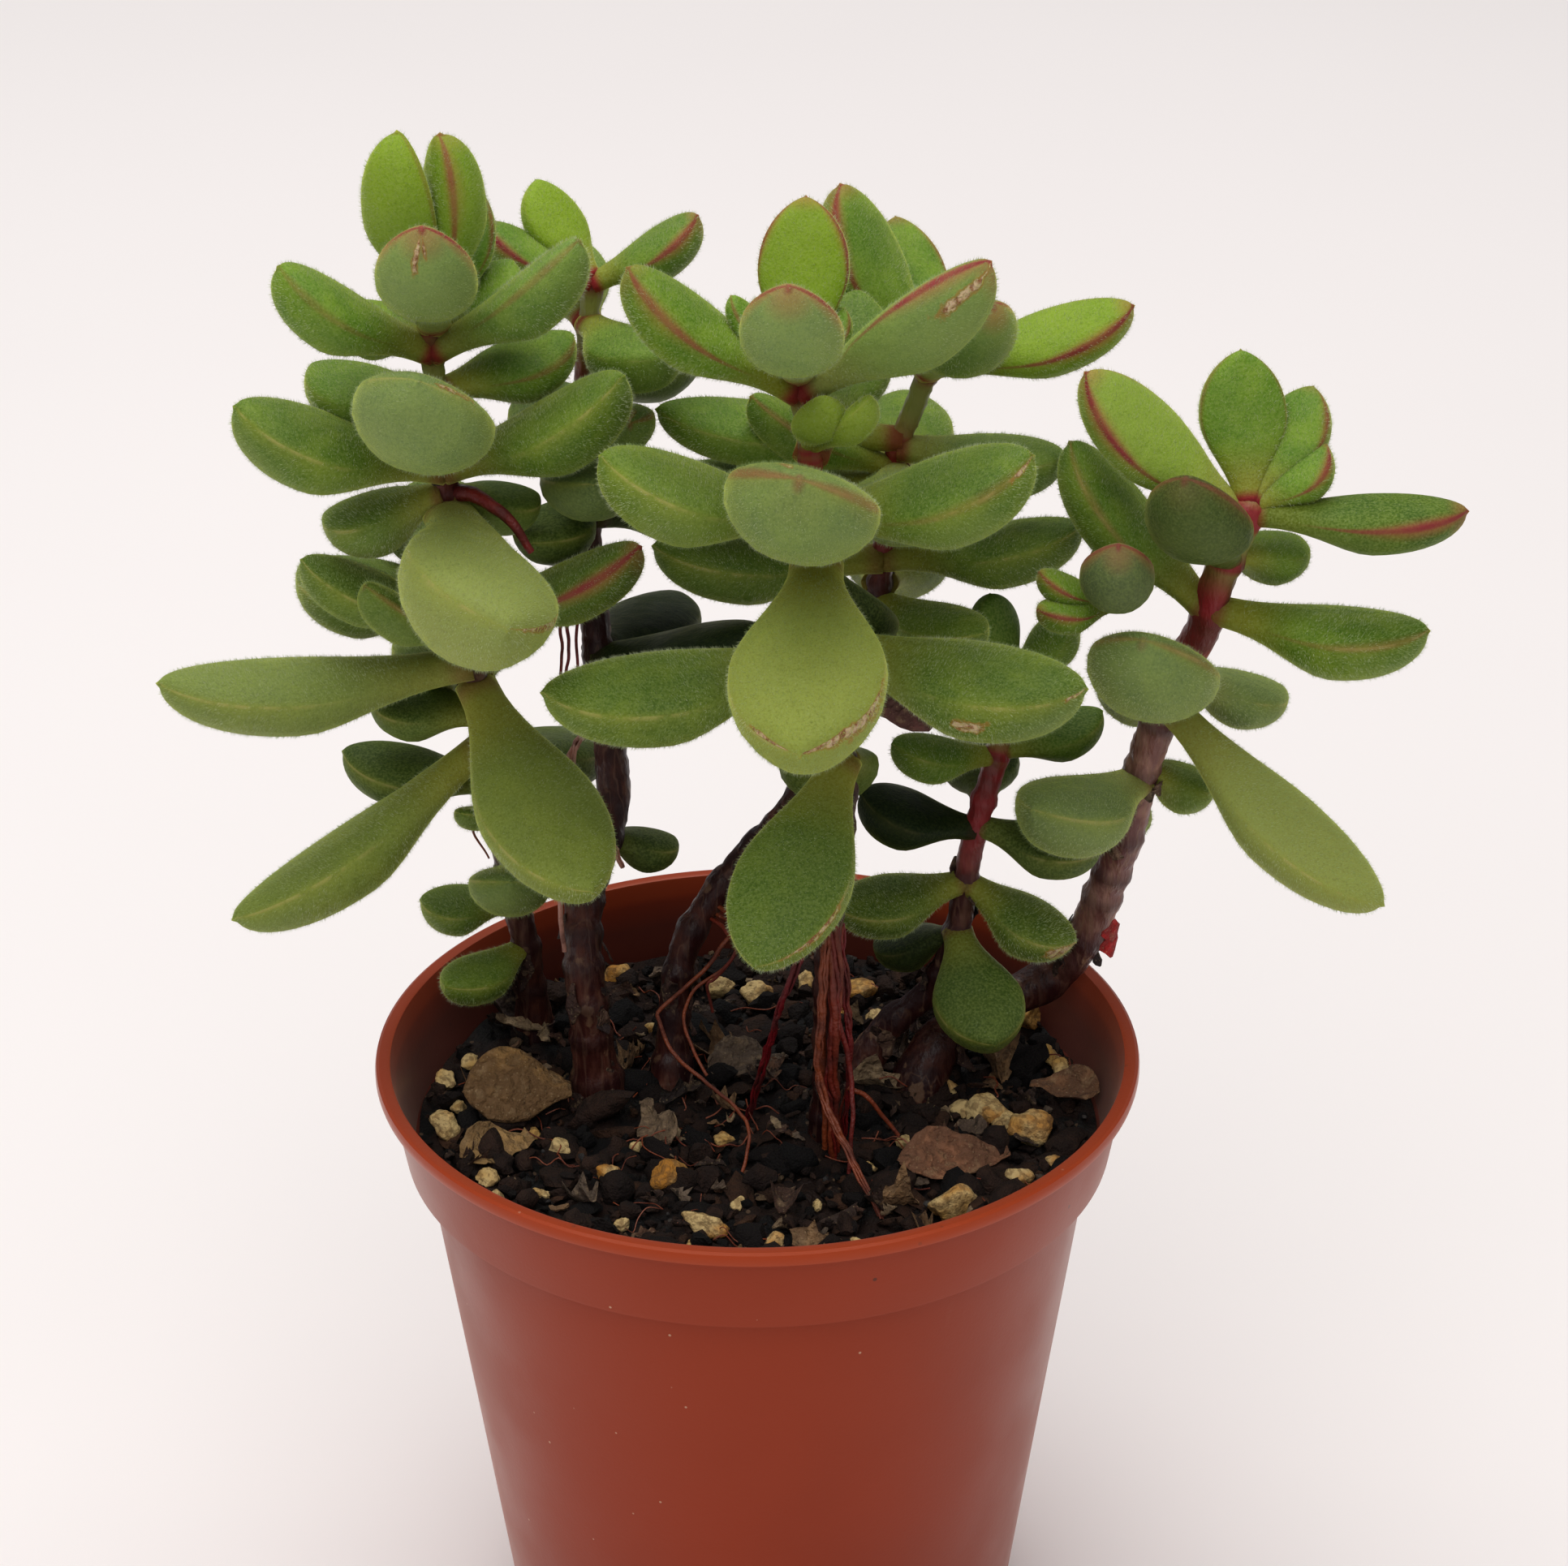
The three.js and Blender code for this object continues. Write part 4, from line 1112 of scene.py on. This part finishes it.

# %% [markdown]
# The skin of a leaf is green under a velvet of short hairs. Young leaves are yellow-green and
# let light through, old ones are greyer, and some carry a pale frost that is partly painted sheen.
# Leaves given painted shade are darker, and leaves given painted light are paler and yellower.

# %% Green of the leaves
def leaf_green(tree, place, along, from_edge, frost_and_painted_sheen, age, painted_light, clouds):
    """The skin without its edge: two greens by age, then painted shade, painted light, frost with
    painted sheen, and velvet.
    """
    broad = mottled(tree, place, 70, 0.38, 0.64, 2)
    old = blend_colours(tree, clouds, colour(73, 102, 12), colour(101, 123, 28))
    old = over(tree, old, colour(60, 90, 12), broad, 0.6)
    fresh = blend_colours(tree, clouds, colour(84, 126, 14), colour(114, 148, 32))
    skin = blend_colours(tree, age, fresh, old)
    painted_lit_green = blend_colours(tree, age, colour(140, 170, 20), colour(158, 163, 74))
    fibre = add(tree, "TexNoise", {"Vector": place, "Scale": 3600, "Detail": 2}).outputs["Fac"]
    # Painted shade and painted light come first, then frost that is partly painted sheen.
    for shade, *shares in (
            (colour(10, 28, 8), span(tree, painted_light, -0.1, -1.0, 0, 0.9)),
            (painted_lit_green, span(tree, painted_light, 0.05, 0.6, 0, 0.8)),
            (colour(142, 136, 38), span(tree, along, 0.46, 0.1),
             span(tree, painted_light, -0.85, -0.2, 0.1, 0.85)),
            (colour(156, 168, 124), frost_and_painted_sheen, 0.5),
            (colour(152, 168, 92), span(tree, fibre, 0.35, 0.7, 0.0, 0.3)),
            (colour(34, 52, 16), span(tree, fibre, 0.5, 0.25, 0.0, 0.2)),
            (colour(132, 148, 80), span(tree, from_edge, 0.1, -0.7, 0.1, 0.42), broad),
            (colour(176, 188, 140), specked(tree, place, 2400, 0.3, 0.4), 0.15)):
        skin = over(tree, skin, shade, *shares)
    return skin


# %% [markdown]
# Along the edge runs a pale line. On leaves that grew in strong light it turns crimson, with a
# soft red beside it that reaches farther on the upper face and at the tip. The stalk is
# yellow, and then crimson where it meets the wood.

# %% Edge of the leaves
def leaf_edge(tree, place, skin, along, from_edge, age, red, clouds):
    """Lays the pale line, the red rim and the red foot over the skin."""
    off_edge = sums(tree, "ABSOLUTE", from_edge)
    dashes = mottled(tree, place, 420, 0.36, 0.6)
    outer = sums(tree, "MULTIPLY", span(tree, along, 0.3, 0.75), span(tree, age, 0.1, 0.7, 0.3, 1))
    skin = over(tree, skin, colour(154, 160, 62), span(tree, off_edge, 0.3, 0.0, 0, 0.34), outer)
    skin = over(tree, skin, colour(184, 172, 106), span(tree, off_edge, 0.08, 0.0), outer,
                span(tree, dashes, 0, 1, 0.0, 0.5))
    reach = span(tree, along, 0.3, 0.95, 0.05, 0.14)

    def near_edge(upper_share, wider, full):
        """1 at the edge and 0 at the reach, which counts by a share on the upper face."""
        off = sums(tree, "MAXIMUM", sums(tree, "MULTIPLY", from_edge, upper_share),
                   sums(tree, "MULTIPLY", from_edge, -1))
        reached = sums(tree, "DIVIDE", off, sums(tree, "MULTIPLY", reach, wider))
        return span(tree, reached, 1.0, full)

    soft = sums(tree, "MAXIMUM", near_edge(0.6, 2.6, 0.1), span(tree, along, 0.89, 1.0, 0, 0.75))
    skin = over(tree, skin, colour(172, 92, 70), soft, span(tree, red, 0.45, 0.95),
                span(tree, along, 0.4, 0.8, 0, 0.6))
    rim = sums(tree, "MAXIMUM", near_edge(0.33, 1, 0.2), span(tree, along, 0.99, 1.0))
    skin = over(tree, skin, colour(138, 44, 56), rim, red, span(tree, along, 0.2, 0.5),
                span(tree, clouds, 0, 1, 0.95, 0.7))
    foot = blend_colours(tree, age, colour(136, 36, 38), colour(116, 66, 46))
    return over(tree, skin, foot, span(tree, along, 0.11, 0.03), span(tree, age, 0, 1, 1, 0.5))


# %% [markdown]
# Scars are raised, corky and pale brown with a darker border. Two finishes share all of this,
# as a lit and a shaded copy: the lit one has a strong sheen of velvet, and the copy for leaves with
# painted deep shade nearly none.

# %% Leaf skin
def leaf_finish(name, sheen):
    """The skin of a leaf with painted light and shade, and more or less sheen on its velvet."""
    skin_made, tree, shader, place = new_material(name)
    along, from_edge, frost_and_painted_sheen = (marked(tree, "leaf_place", axis) for axis in "XYZ")
    age, red, painted_light = (marked(tree, "leaf_kind", axis) for axis in "XYZ")
    clouds = mottled(tree, place, 260, 0.35, 0.68, 4)
    skin = leaf_green(tree, place, along, from_edge, frost_and_painted_sheen, age, painted_light, clouds)
    skin = leaf_edge(tree, place, skin, along, from_edge, age, red, clouds)
    # Painted deep shade: leaves far below 0 are darkened nearly to black.
    skin = over(tree, skin, colour(6, 22, 8), span(tree, painted_light, -0.6, -1.0, 0, 0.85))
    ragged = sums(tree, "ADD", marked(tree, "leaf_scar"), sums(
        tree, "MULTIPLY", mottled(tree, place, 900, 0.3, 0.7, 4), 0.35))
    cork = span(tree, ragged, 0.62, 0.78)
    border = sums(tree, "SUBTRACT", span(tree, ragged, 0.4, 0.62), cork)
    skin = over(tree, skin, colour(158, 112, 52), border, 0.7)
    skin = over(tree, skin, blend_colours(tree, mottled(tree, place, 1300), colour(208, 182, 144),
                                          colour(146, 100, 66)), cork)
    put(tree, shader.inputs["Base Color"], skin)
    put(tree, shader.inputs["Roughness"], span(tree, clouds, 0, 1, 0.5, 0.62))
    shader.inputs["Subsurface Weight"].default_value = 0.3
    shader.inputs["Subsurface Radius"].default_value = (0.8, 1.0, 0.25)
    shader.inputs["Subsurface Scale"].default_value = 0.0022
    shader.inputs["Sheen Weight"].default_value = sheen
    shader.inputs["Sheen Roughness"].default_value = 0.26
    shader.inputs["Sheen Tint"].default_value = colour(226, 236, 118)
    shader.inputs["Specular IOR Level"].default_value = 0.1
    height = sums(tree, "ADD", grained(tree, place, 500, 5200),
                  sums(tree, "MULTIPLY", cork, mottled(tree, place, 1500)))
    raise_surface(tree, shader, height, 0.00022)
    return skin_made


# A lit and a shaded copy of one finish, for leaves with painted light and with painted deep shade.
leaf_skin, shaded_skin = leaf_finish("leaf_skin", 1.0), leaf_finish("shaded_leaf_skin", 0.25)
print("leaf finishes:", leaf_skin.name, shaded_skin.name)

# %% [markdown]
# The velvet is real geometry too: thousands of thin blades, each one triangle, grow out of the
# skin of the leaves without painted deep shade and lean to the leaf's tip. They blur its outline,
# as in the real plant. The leaves with painted deep shade take the second, shaded copy of the
# finish.

# %% Leaves and their hairs
DEEP_SHADE = -0.5
HAIRS_PER_SQUARE_MM = 11.0
HAIR_LENGTHS, HAIR_HALF_WIDTH, ROOT_DEPTH = (0.2, 0.5), 0.02, 0.03
CAP_CORNERS = 9
BARE_STALK = 0.1


def grow_hairs(places, bases):
    """Root, tip and side arrow of each hair, in mm, spread evenly over the leaves."""
    flat_faces = [(f[0], f[k], f[k + 1]) for f in BLADE_FACES if len(f) < CAP_CORNERS
                  for k in range(1, len(f) - 1)]
    corners = np.array([f for f in flat_faces if T[list(f)].min() > BARE_STALK])
    roots, tips, sides = [], [], []
    for place, base in zip(places, bases):
        a, b, c = (place[corners[:, k]] for k in range(3))
        normal = np.cross(b - a, c - a)
        area = np.linalg.norm(normal, axis=1) / 2
        count = int(area.sum() * HAIRS_PER_SQUARE_MM)
        face = rng.choice(len(corners), count, p=area / area.sum())
        u, v = rng.random((2, count, 1))
        u, v = np.where(u + v > 1, 1 - u, u), np.where(u + v > 1, 1 - v, v)
        root = a[face] + (b - a)[face] * u + (c - a)[face] * v
        out = normal[face] / (2 * area[face, None])
        forward = place[T.argmax()] - base
        lean = out + 0.5 * forward / np.linalg.norm(forward) + rng.normal(0, 0.22, (count, 3))
        lean /= np.linalg.norm(lean, axis=1)[:, None]
        across = np.cross(lean, rng.normal(size=(count, 3)))
        across /= np.linalg.norm(across, axis=1)[:, None]
        roots.append(root - out * ROOT_DEPTH)
        tips.append(root + lean * rng.uniform(*HAIR_LENGTHS, (count, 1)))
        sides.append(across)
    return np.concatenate(roots), np.concatenate(tips), np.concatenate(sides)


hair_fibre, tree, shader, place = new_material("leaf_hairs")
put(tree, shader.inputs["Base Color"], blend_colours(
    tree, mottled(tree, place, 120), colour(168, 188, 122), colour(204, 212, 170)))
shader.inputs["Roughness"].default_value = 0.6
shader.inputs["Subsurface Weight"].default_value = 0.0

for name, stem in STEMS.items():
    places, marks, painted_light_of_leaves, bases = stem_leaves(name, stem)
    leaves = copies("leaves", BLADE_FACES, [place * MM for place in places],
                    dict(zip(("leaf_place", "leaf_kind", "leaf_scar"), zip(*marks))))
    finish_piece(leaves, f"leaves_{name[5:]}", leaf_skin, [name])
    # Leaves with painted deep shade take the shaded copy of the finish.
    leaves.data.materials.append(shaded_skin)
    leaves.data.polygons.foreach_set("material_index", np.repeat(
        [int(painted_light < DEEP_SHADE) for painted_light in painted_light_of_leaves], len(BLADE_FACES)))
    lit_ones = [k for k, painted_light in enumerate(painted_light_of_leaves) if painted_light > DEEP_SHADE]
    root, tip, side = grow_hairs([places[k] for k in lit_ones], [bases[k] for k in lit_ones])
    side = side * HAIR_HALF_WIDTH
    corners = np.stack([root - side, root + side, tip], axis=1).reshape(-1, 3)
    threes = np.arange(len(corners)).reshape(-1, 3).tolist()
    finish_piece(copies("hairs", threes, [corners * MM]), f"hairs_{name[5:]}",
                 hair_fibre)


# %% [markdown]
# Aerial roots grow from the old nodes down to the mix. They are rods again, thinner towards
# their ends, and a seeded wander keeps them from looking like wire. A thick one is five
# strands wound round each other, and fine loose threads lie on the soil. The mark "shade" goes
# from crimson over orange-brown to pale.

# %% Aerial roots
# Points in mm, radius at the start and at the end, and shade of each.
ROOTS = [
    ([(-31, 4.5, 139.8), (-29, 2, 140.4), (-26, -0.5, 139.2), (-23.3, -1, 135.2)], 0.95, 0.4, 0),
    ([(-19.2, 13.5, 107), (-20.2, 7.5, 106.5), (-17.2, 4.5, 101), (-14.6, 5.6, 94.5)],
     0.55, 0.3, 0.9),
    ([(-17.9, 16.9, 122.8), (-20.4, 14.2, 122.4), (-21.2, 13, 120.6), (-21, 12.5, 118),
      (-21.5, 12, 113.5)], 0.22, 0.18, 0.1),
    ([(-17.8, 16.8, 122.4), (-19.8, 14, 122), (-20.4, 13, 120.4), (-20.4, 12.5, 117.3),
      (-20.9, 12, 112.8)], 0.25, 0.18, 0.1),
    ([(-17.7, 16.8, 122), (-19, 14.2, 121.8), (-19.6, 13, 120.2), (-19.6, 12.5, 117),
      (-19.3, 12, 113)], 0.22, 0.18, 0.1),
    ([(-17.4, 9.6, 94.4), (-20, 5.4, 94.4), (-21.3, 3.2, 92.4), (-21.4, 2.8, 89),
      (-21.3, 3, 85.3)], 0.4, 0.28, 1),
    ([(-29.4, 13.6, 97.6), (-31, 13, 97.2), (-31.5, 13, 95.5), (-31.1, 12.5, 94.2),
      (-30, 12, 92.3)], 0.2, 0.12, 0.5),
    ([(8, -7.5, 96), (7.1, -11, 87), (6.8, -12.5, 78), (9.3, -16, 71.9), (13.5, -21.5, 66)],
     0.62, 0.42, 0.55),
    ([(8.6, -7.5, 95), (8.7, -10.5, 86), (8, -10, 76), (8.4, -9, 66)], 0.9, 0.7, 0.25),
    ([(9, -7, 94), (10, -8.5, 81), (9.9, -8.6, 73), (9.2, -8, 66)], 0.55, 0.4, 0.15),
    ([(7.6, -7.5, 98), (4.8, -10, 91.5), (2.2, -8.5, 83), (-1.3, -1.5, 66)], 0.6, 0.4, 0),
    ([(8, -9, 86.1), (10.1, -10, 78.5), (10.3, -13, 72.1), (10.1, -14, 67)], 0.35, 0.25, 0.2),
    ([(10.1, -10, 75.4), (12.8, -10, 73.2), (15.4, -10, 69)], 0.3, 0.22, 0.4),
    ([(7.2, -8.5, 92), (7, -9.5, 84), (7.3, -9, 75), (7.6, -9, 67)], 0.45, 0.35, 0.45),
    ([(-5, 11.2, 87), (-2.4, 8, 86), (-5.8, 6, 81.5), (-10.6, 3, 77.9), (-10.8, 1.5, 76.8),
      (-9.2, -1, 74.2), (-5.7, -4, 72.6), (-2.5, -8, 71.5), (-0.9, -11, 70.5), (-1.7, -14, 67)],
     0.27, 0.2, 0.5),
    ([(-5.2, 11, 86), (-2, 8, 85), (-3.8, 6, 81.2), (-7.4, 4, 79.2), (-8.1, 0, 76.8),
      (-5.7, -4, 73.4)], 0.25, 0.18, 0.5),
    ([(-5.6, 10.6, 85.6), (-2.4, 5, 84.9), (-4.7, 5, 80.7), (-5.8, 5, 79.7), (-5.1, 5, 76)],
     0.25, 0.18, 0.3),
]
STRANDS, WOUND_FROM = 5, 0.5
THREADS = 70
INSIDE_POT = 36.5


def wound(line, radii, seed):
    """Thin roots that wind round the line of a thick one."""
    for k in range(STRANDS):
        turn = 2 * math.pi * k / STRANDS + np.linspace(0, 5.5, len(line))
        off = np.column_stack([np.cos(turn), np.sin(turn), 0 * turn]) * radii[:, None] * 0.55
        stray = rough_arrows(line, 3, seed + 7 * k) * 0.24
        yield line + off + stray, radii * (0.28 + 0.1 * (k % 3))


def thread(seed):
    """A fine loose root that lies on the soil."""
    draw = np.random.default_rng(seed)
    radius, angle = draw.uniform(4, 33), draw.uniform(0, 2 * math.pi)
    heading = draw.uniform(0, 2 * math.pi) + np.cumsum(draw.uniform(-0.7, 0.7, 6))
    x = radius * math.cos(angle) + np.cumsum(1.3 * np.cos(heading))
    y = radius * math.sin(angle) + np.cumsum(1.3 * np.sin(heading))
    x, y = (side * np.minimum(1, INSIDE_POT / np.hypot(x, y)) for side in (x, y))
    z = soil_height(x, y) + draw.uniform(0.2, 1.8, 6)
    return smooth_line(np.column_stack([x, y, z]), 0.5)


lines, shades = [], []
for k, (points, start, end, shade) in enumerate(ROOTS):
    line = smooth_line(points, 0.5)
    line += rough_arrows(line, 6, 70 + 3 * k) * 0.28
    radii = np.linspace(start, end, len(line))
    made = list(wound(line, radii, 200 + k)) if k and start > WOUND_FROM else [(line, radii)]
    lines += made
    shades += [np.full(len(one), shade + rng.uniform(-0.1, 0.15)) for one, _ in made]
for k in range(THREADS):
    line = thread(300 + k)
    lines.append((line, np.full(len(line), rng.uniform(0.05, 0.1))))
    shades.append(np.full(len(line), rng.uniform(0.35, 0.75)))
roots = rods("roots", lines, 1)
every, shades = np.concatenate([line for line, _ in lines]) * MM, np.concatenate(shades)
mark_points(roots.data, "shade", shades[nearest_on(every, points_of(roots))])

root_skin, tree, shader, place = new_material("root_skin")
shade = marked(tree, "shade")
tint = blend_colours(tree, span(tree, shade, 0, 0.5), colour(122, 18, 28), colour(140, 64, 32))
tint = over(tree, tint, colour(196, 140, 122), span(tree, shade, 0.6, 1))
patches = mottled(tree, place, 300, 0.4, 0.66, 4)
put(tree, shader.inputs["Base Color"], over(tree, tint, colour(66, 24, 20), patches, 0.65))
put(tree, shader.inputs["Roughness"], span(tree, patches, 0, 1, 0.4, 0.65))
raise_surface(tree, shader, grained(tree, place, 1500, 4000), 0.00025)
finish_piece(roots, "aerial_roots", root_skin)

# %% [markdown]
# Fallen leaves are the same blade, dried out: thin, cupped, crumpled and brown. Each is tilted
# and lifted a little off the soil, and stands in for its CAD node.

# %% Fallen leaves
# Place on the soil and lift in mm, and then the row of a leaf: swing, rise, length and so on.
FALLEN = [
    (-21, 0, 1.3, 188, 3, 12, 9.5, -10), (-25, -8, 1, 215, 0, 9, 5.5, 15),
    (27.5, -12.5, 1, 192, 1, 12.5, 6.5, 10), (31, 3.5, 1, 340, 2, 8, 5, -15),
    (-12.5, -1.5, 2, 285, -14, 9, 5, 20), (3, 9, 0.8, 203, 2, 9.5, 5, -10),
]
# Roll in degrees, further lift in mm, thickness, crumple in mm and colour of each.
DRIED = [
    (-40, 2.5, 0.5, 0.35, (144, 106, 58)), (-24, 1.2, 0.2, 0.8, (172, 134, 82)),
    (-30, 1.3, 0.26, 0.5, (150, 100, 70)), (24, 1.1, 0.24, 0.5, (124, 84, 54)),
    (34, 1.0, 0.2, 1.0, (140, 116, 90)), (-32, 1.2, 0.35, 0.8, (98, 80, 64)),
]
dry_skin, tree, shader, place = new_material("dry_leaf")
tint = add(tree, "Attribute", attribute_name="tint").outputs["Color"]
wrinkle = mottled(tree, place, 800, 0.36, 0.64, 6)
# Painted shade: the low parts of the wrinkle height are darkened.
tan = over(tree, tint, colour(44, 29, 23), span(tree, wrinkle, 0, 1, 0.42, 0))
tan = blend_colours(tree, mottled(tree, place, 150, 0.42, 0.62), tan,
                    blend_colours(tree, 0.55, tint, colour(66, 44, 32)))
# Painted highlights: pale patches that stand in for lit rims.
painted_highlights = mottled(tree, place, 700, 0.54, 0.68, 6)
tan = over(tree, tan, colour(186, 156, 116), painted_highlights, 0.22)
tan = over(tree, tan, colour(196, 170, 128), specked(tree, place, 2600, 0.3, 0.4), 0.25)
put(tree, shader.inputs["Base Color"], tan)
shader.inputs["Roughness"].default_value = 0.78
height = sums(tree, "ADD", wrinkle, grained(tree, place, 900, 3000))
raise_surface(tree, shader, height, 0.0004)

for number, ((x, y, lift, *row), (roll, higher, thick, crumple, shade)) in enumerate(
        zip(FALLEN, DRIED), 1):
    base = np.array([x, y, soil_height(x, y) + lift + higher])
    place_now = leaf_places(base, row, flat=thick, roll=roll)
    place_now[:, 2] += 2.2 * thick ** -0.5 * BLADE[:, 1] ** 2 * np.clip(2 * T, 0, 1)
    place_now[:, 2] += crumple * roughness_at(place_now, 3.2, 30 + number)
    place_now += 0.4 * crumple * rough_arrows(place_now, 1.4, 40 + number)
    dry = copies("dry", BLADE_FACES, [place_now * MM])
    mark_points(dry.data, "tint", np.tile(colour(*shade)[:3], (len(BLADE), 1)))
    finish_piece(dry, f"dry_leaf_{number}", dry_skin, [f"fallen_leaf_{number}"])


# %% [markdown]
# Torn scraps of dead leaf and bark lie between the crumbs, and papery shreds of old bark stand
# off the stems. Both start from one small sheet with a little thickness: a grid whose
# outline, curl and crumple are drawn anew for each copy. A red flake on the right stem and the
# stub of a dead leaf on the centre stem are such scraps too.

# %% Litter and shreds
bpy.ops.mesh.primitive_grid_add(x_subdivisions=8, y_subdivisions=4, size=1, location=(0, 0, 0))
thickness = bpy.context.object.modifiers.new("thickness", "SOLIDIFY")
thickness.thickness, thickness.offset = 0.05, 0
bpy.ops.object.modifier_apply(modifier="thickness")
SCRAP, SCRAP_FACES = take_mesh(bpy.context.object)


def scrap_shape(length, width, curl, seed):
    """A torn and curled scrap in mm, with its length along X."""
    draw = np.random.default_rng(seed)
    x, y, z = SCRAP.T
    outline = np.clip(1 - np.abs(2 * x) ** draw.uniform(1.3, 4), 0.06, 1) ** 0.6
    torn = 1 + 0.28 * np.sin(x * draw.uniform(8, 22) + draw.uniform(0, 6) + 3 * np.sign(y))
    sides = y * outline * torn
    lift = curl * width * (2 * sides) ** 2 + draw.uniform(-0.5, 0.7) * length * x ** 2
    shape = np.column_stack([x * length, sides * width, z * 3 + lift])
    return shape + rough_arrows(shape, 2, seed) * 0.3


def scraps(name, rows):
    """One piece of scraps: each row is its points in mm and its colour."""
    piece = copies(name, SCRAP_FACES, [place * MM for place, _ in rows], {
        "tint": [np.tile(colour(*shade)[:3], (len(place), 1)) for place, shade in rows]})
    return finish_piece(piece, name, dry_skin, angle=60)


BROWNS = [(92, 60, 40), (52, 35, 27), (150, 114, 76), (112, 94, 78), (38, 26, 22), (76, 46, 33),
          (172, 146, 112), (60, 40, 30)]
KEPT_OPEN = np.array([row[:2] for row in PUMICE + SMALL_PUMICE + FALLEN]
                     + [(-26, -1), (23, -13.5), (34, 2.5)])
LITTER_TRIES = 210
litter = []
for k in range(LITTER_TRIES):
    x, y = place_in_disc(35.5, 35.5)
    length = 1.8 + 6.5 * rng.random() ** 2
    if np.hypot(*(KEPT_OPEN - (x, y)).T).min() < 1.2 + length / 2:
        continue
    shape = scrap_shape(length, length * rng.uniform(0.25, 0.6), rng.uniform(-0.6, 1.3), 500 + k)
    shape = turned(shape, rng.uniform(0, 6.28), *rng.uniform(-0.5, 0.5, 2))
    shape += (x, y, soil_height(x, y) + rng.uniform(0.4, 1.5))
    litter.append((shape, BROWNS[rng.integers(len(BROWNS))]))
scraps("leaf_and_bark_litter", litter)

BARKS = [(62, 38, 34), (44, 27, 27), (112, 82, 66), (76, 50, 42)]
FOOT_SHREDS = 11
LARGE_BELOW = 92
shreds = []
for name, (line, radii) in WOOD.items():
    heights = [rng.uniform(67, 88) for _ in range(FOOT_SHREDS)] + [
        row[0] + rng.uniform(-1.6, 0) for row in STEMS[name]["leaves"] if row[0] < line[-1, 2] - 16]
    for k, height in enumerate(heights):
        spot = np.abs(line[:, 2] - height).argmin()
        out = rng.uniform(0, 2 * math.pi)
        small = height > LARGE_BELOW
        shape = scrap_shape(rng.uniform(1.2, 2.4) if small else rng.uniform(2, 6),
                            rng.uniform(0.8, 2), rng.uniform(-0.3, -0.1), 900 + 7 * k)
        shape = turned(shape, out - math.pi, -math.pi / 2 + rng.uniform(-0.15, 0.5), 0)
        reach = radii[spot] + rng.uniform(0.0, 0.3)
        shape += line[spot] + (reach * math.cos(out), reach * math.sin(out), 0)
        shreds.append((shape, BARKS[rng.integers(len(BARKS))]))
flake = turned(scrap_shape(4.8, 2.4, 0.1, 77), -0.9, -1.45, 0.1) + (39.8, 8.2, 83.8)
shreds.append((flake, (176, 16, 14)))
stub = turned(scrap_shape(10.6, 4.2, 0.3, 78), -0.1, 0.56, -1.1) + (13.6, -6.6, 119.1)
shreds.append((stub, (104, 60, 54)))
scraps("bark_shreds", shreds)

# %% [markdown]
# The floor is plain and pale, and its colour changes a little in wide clouds.

# %% Floor finish
pale, tree, shader, place = new_material("pale_floor")
sheet = blend_colours(tree, mottled(tree, place, 3, 0.3, 0.7), colour(248, 243, 242),
                      colour(246, 241, 240))
put(tree, shader.inputs["Base Color"], sheet)
shader.inputs["Roughness"].default_value = 0.9
floor.data.materials.append(pale)
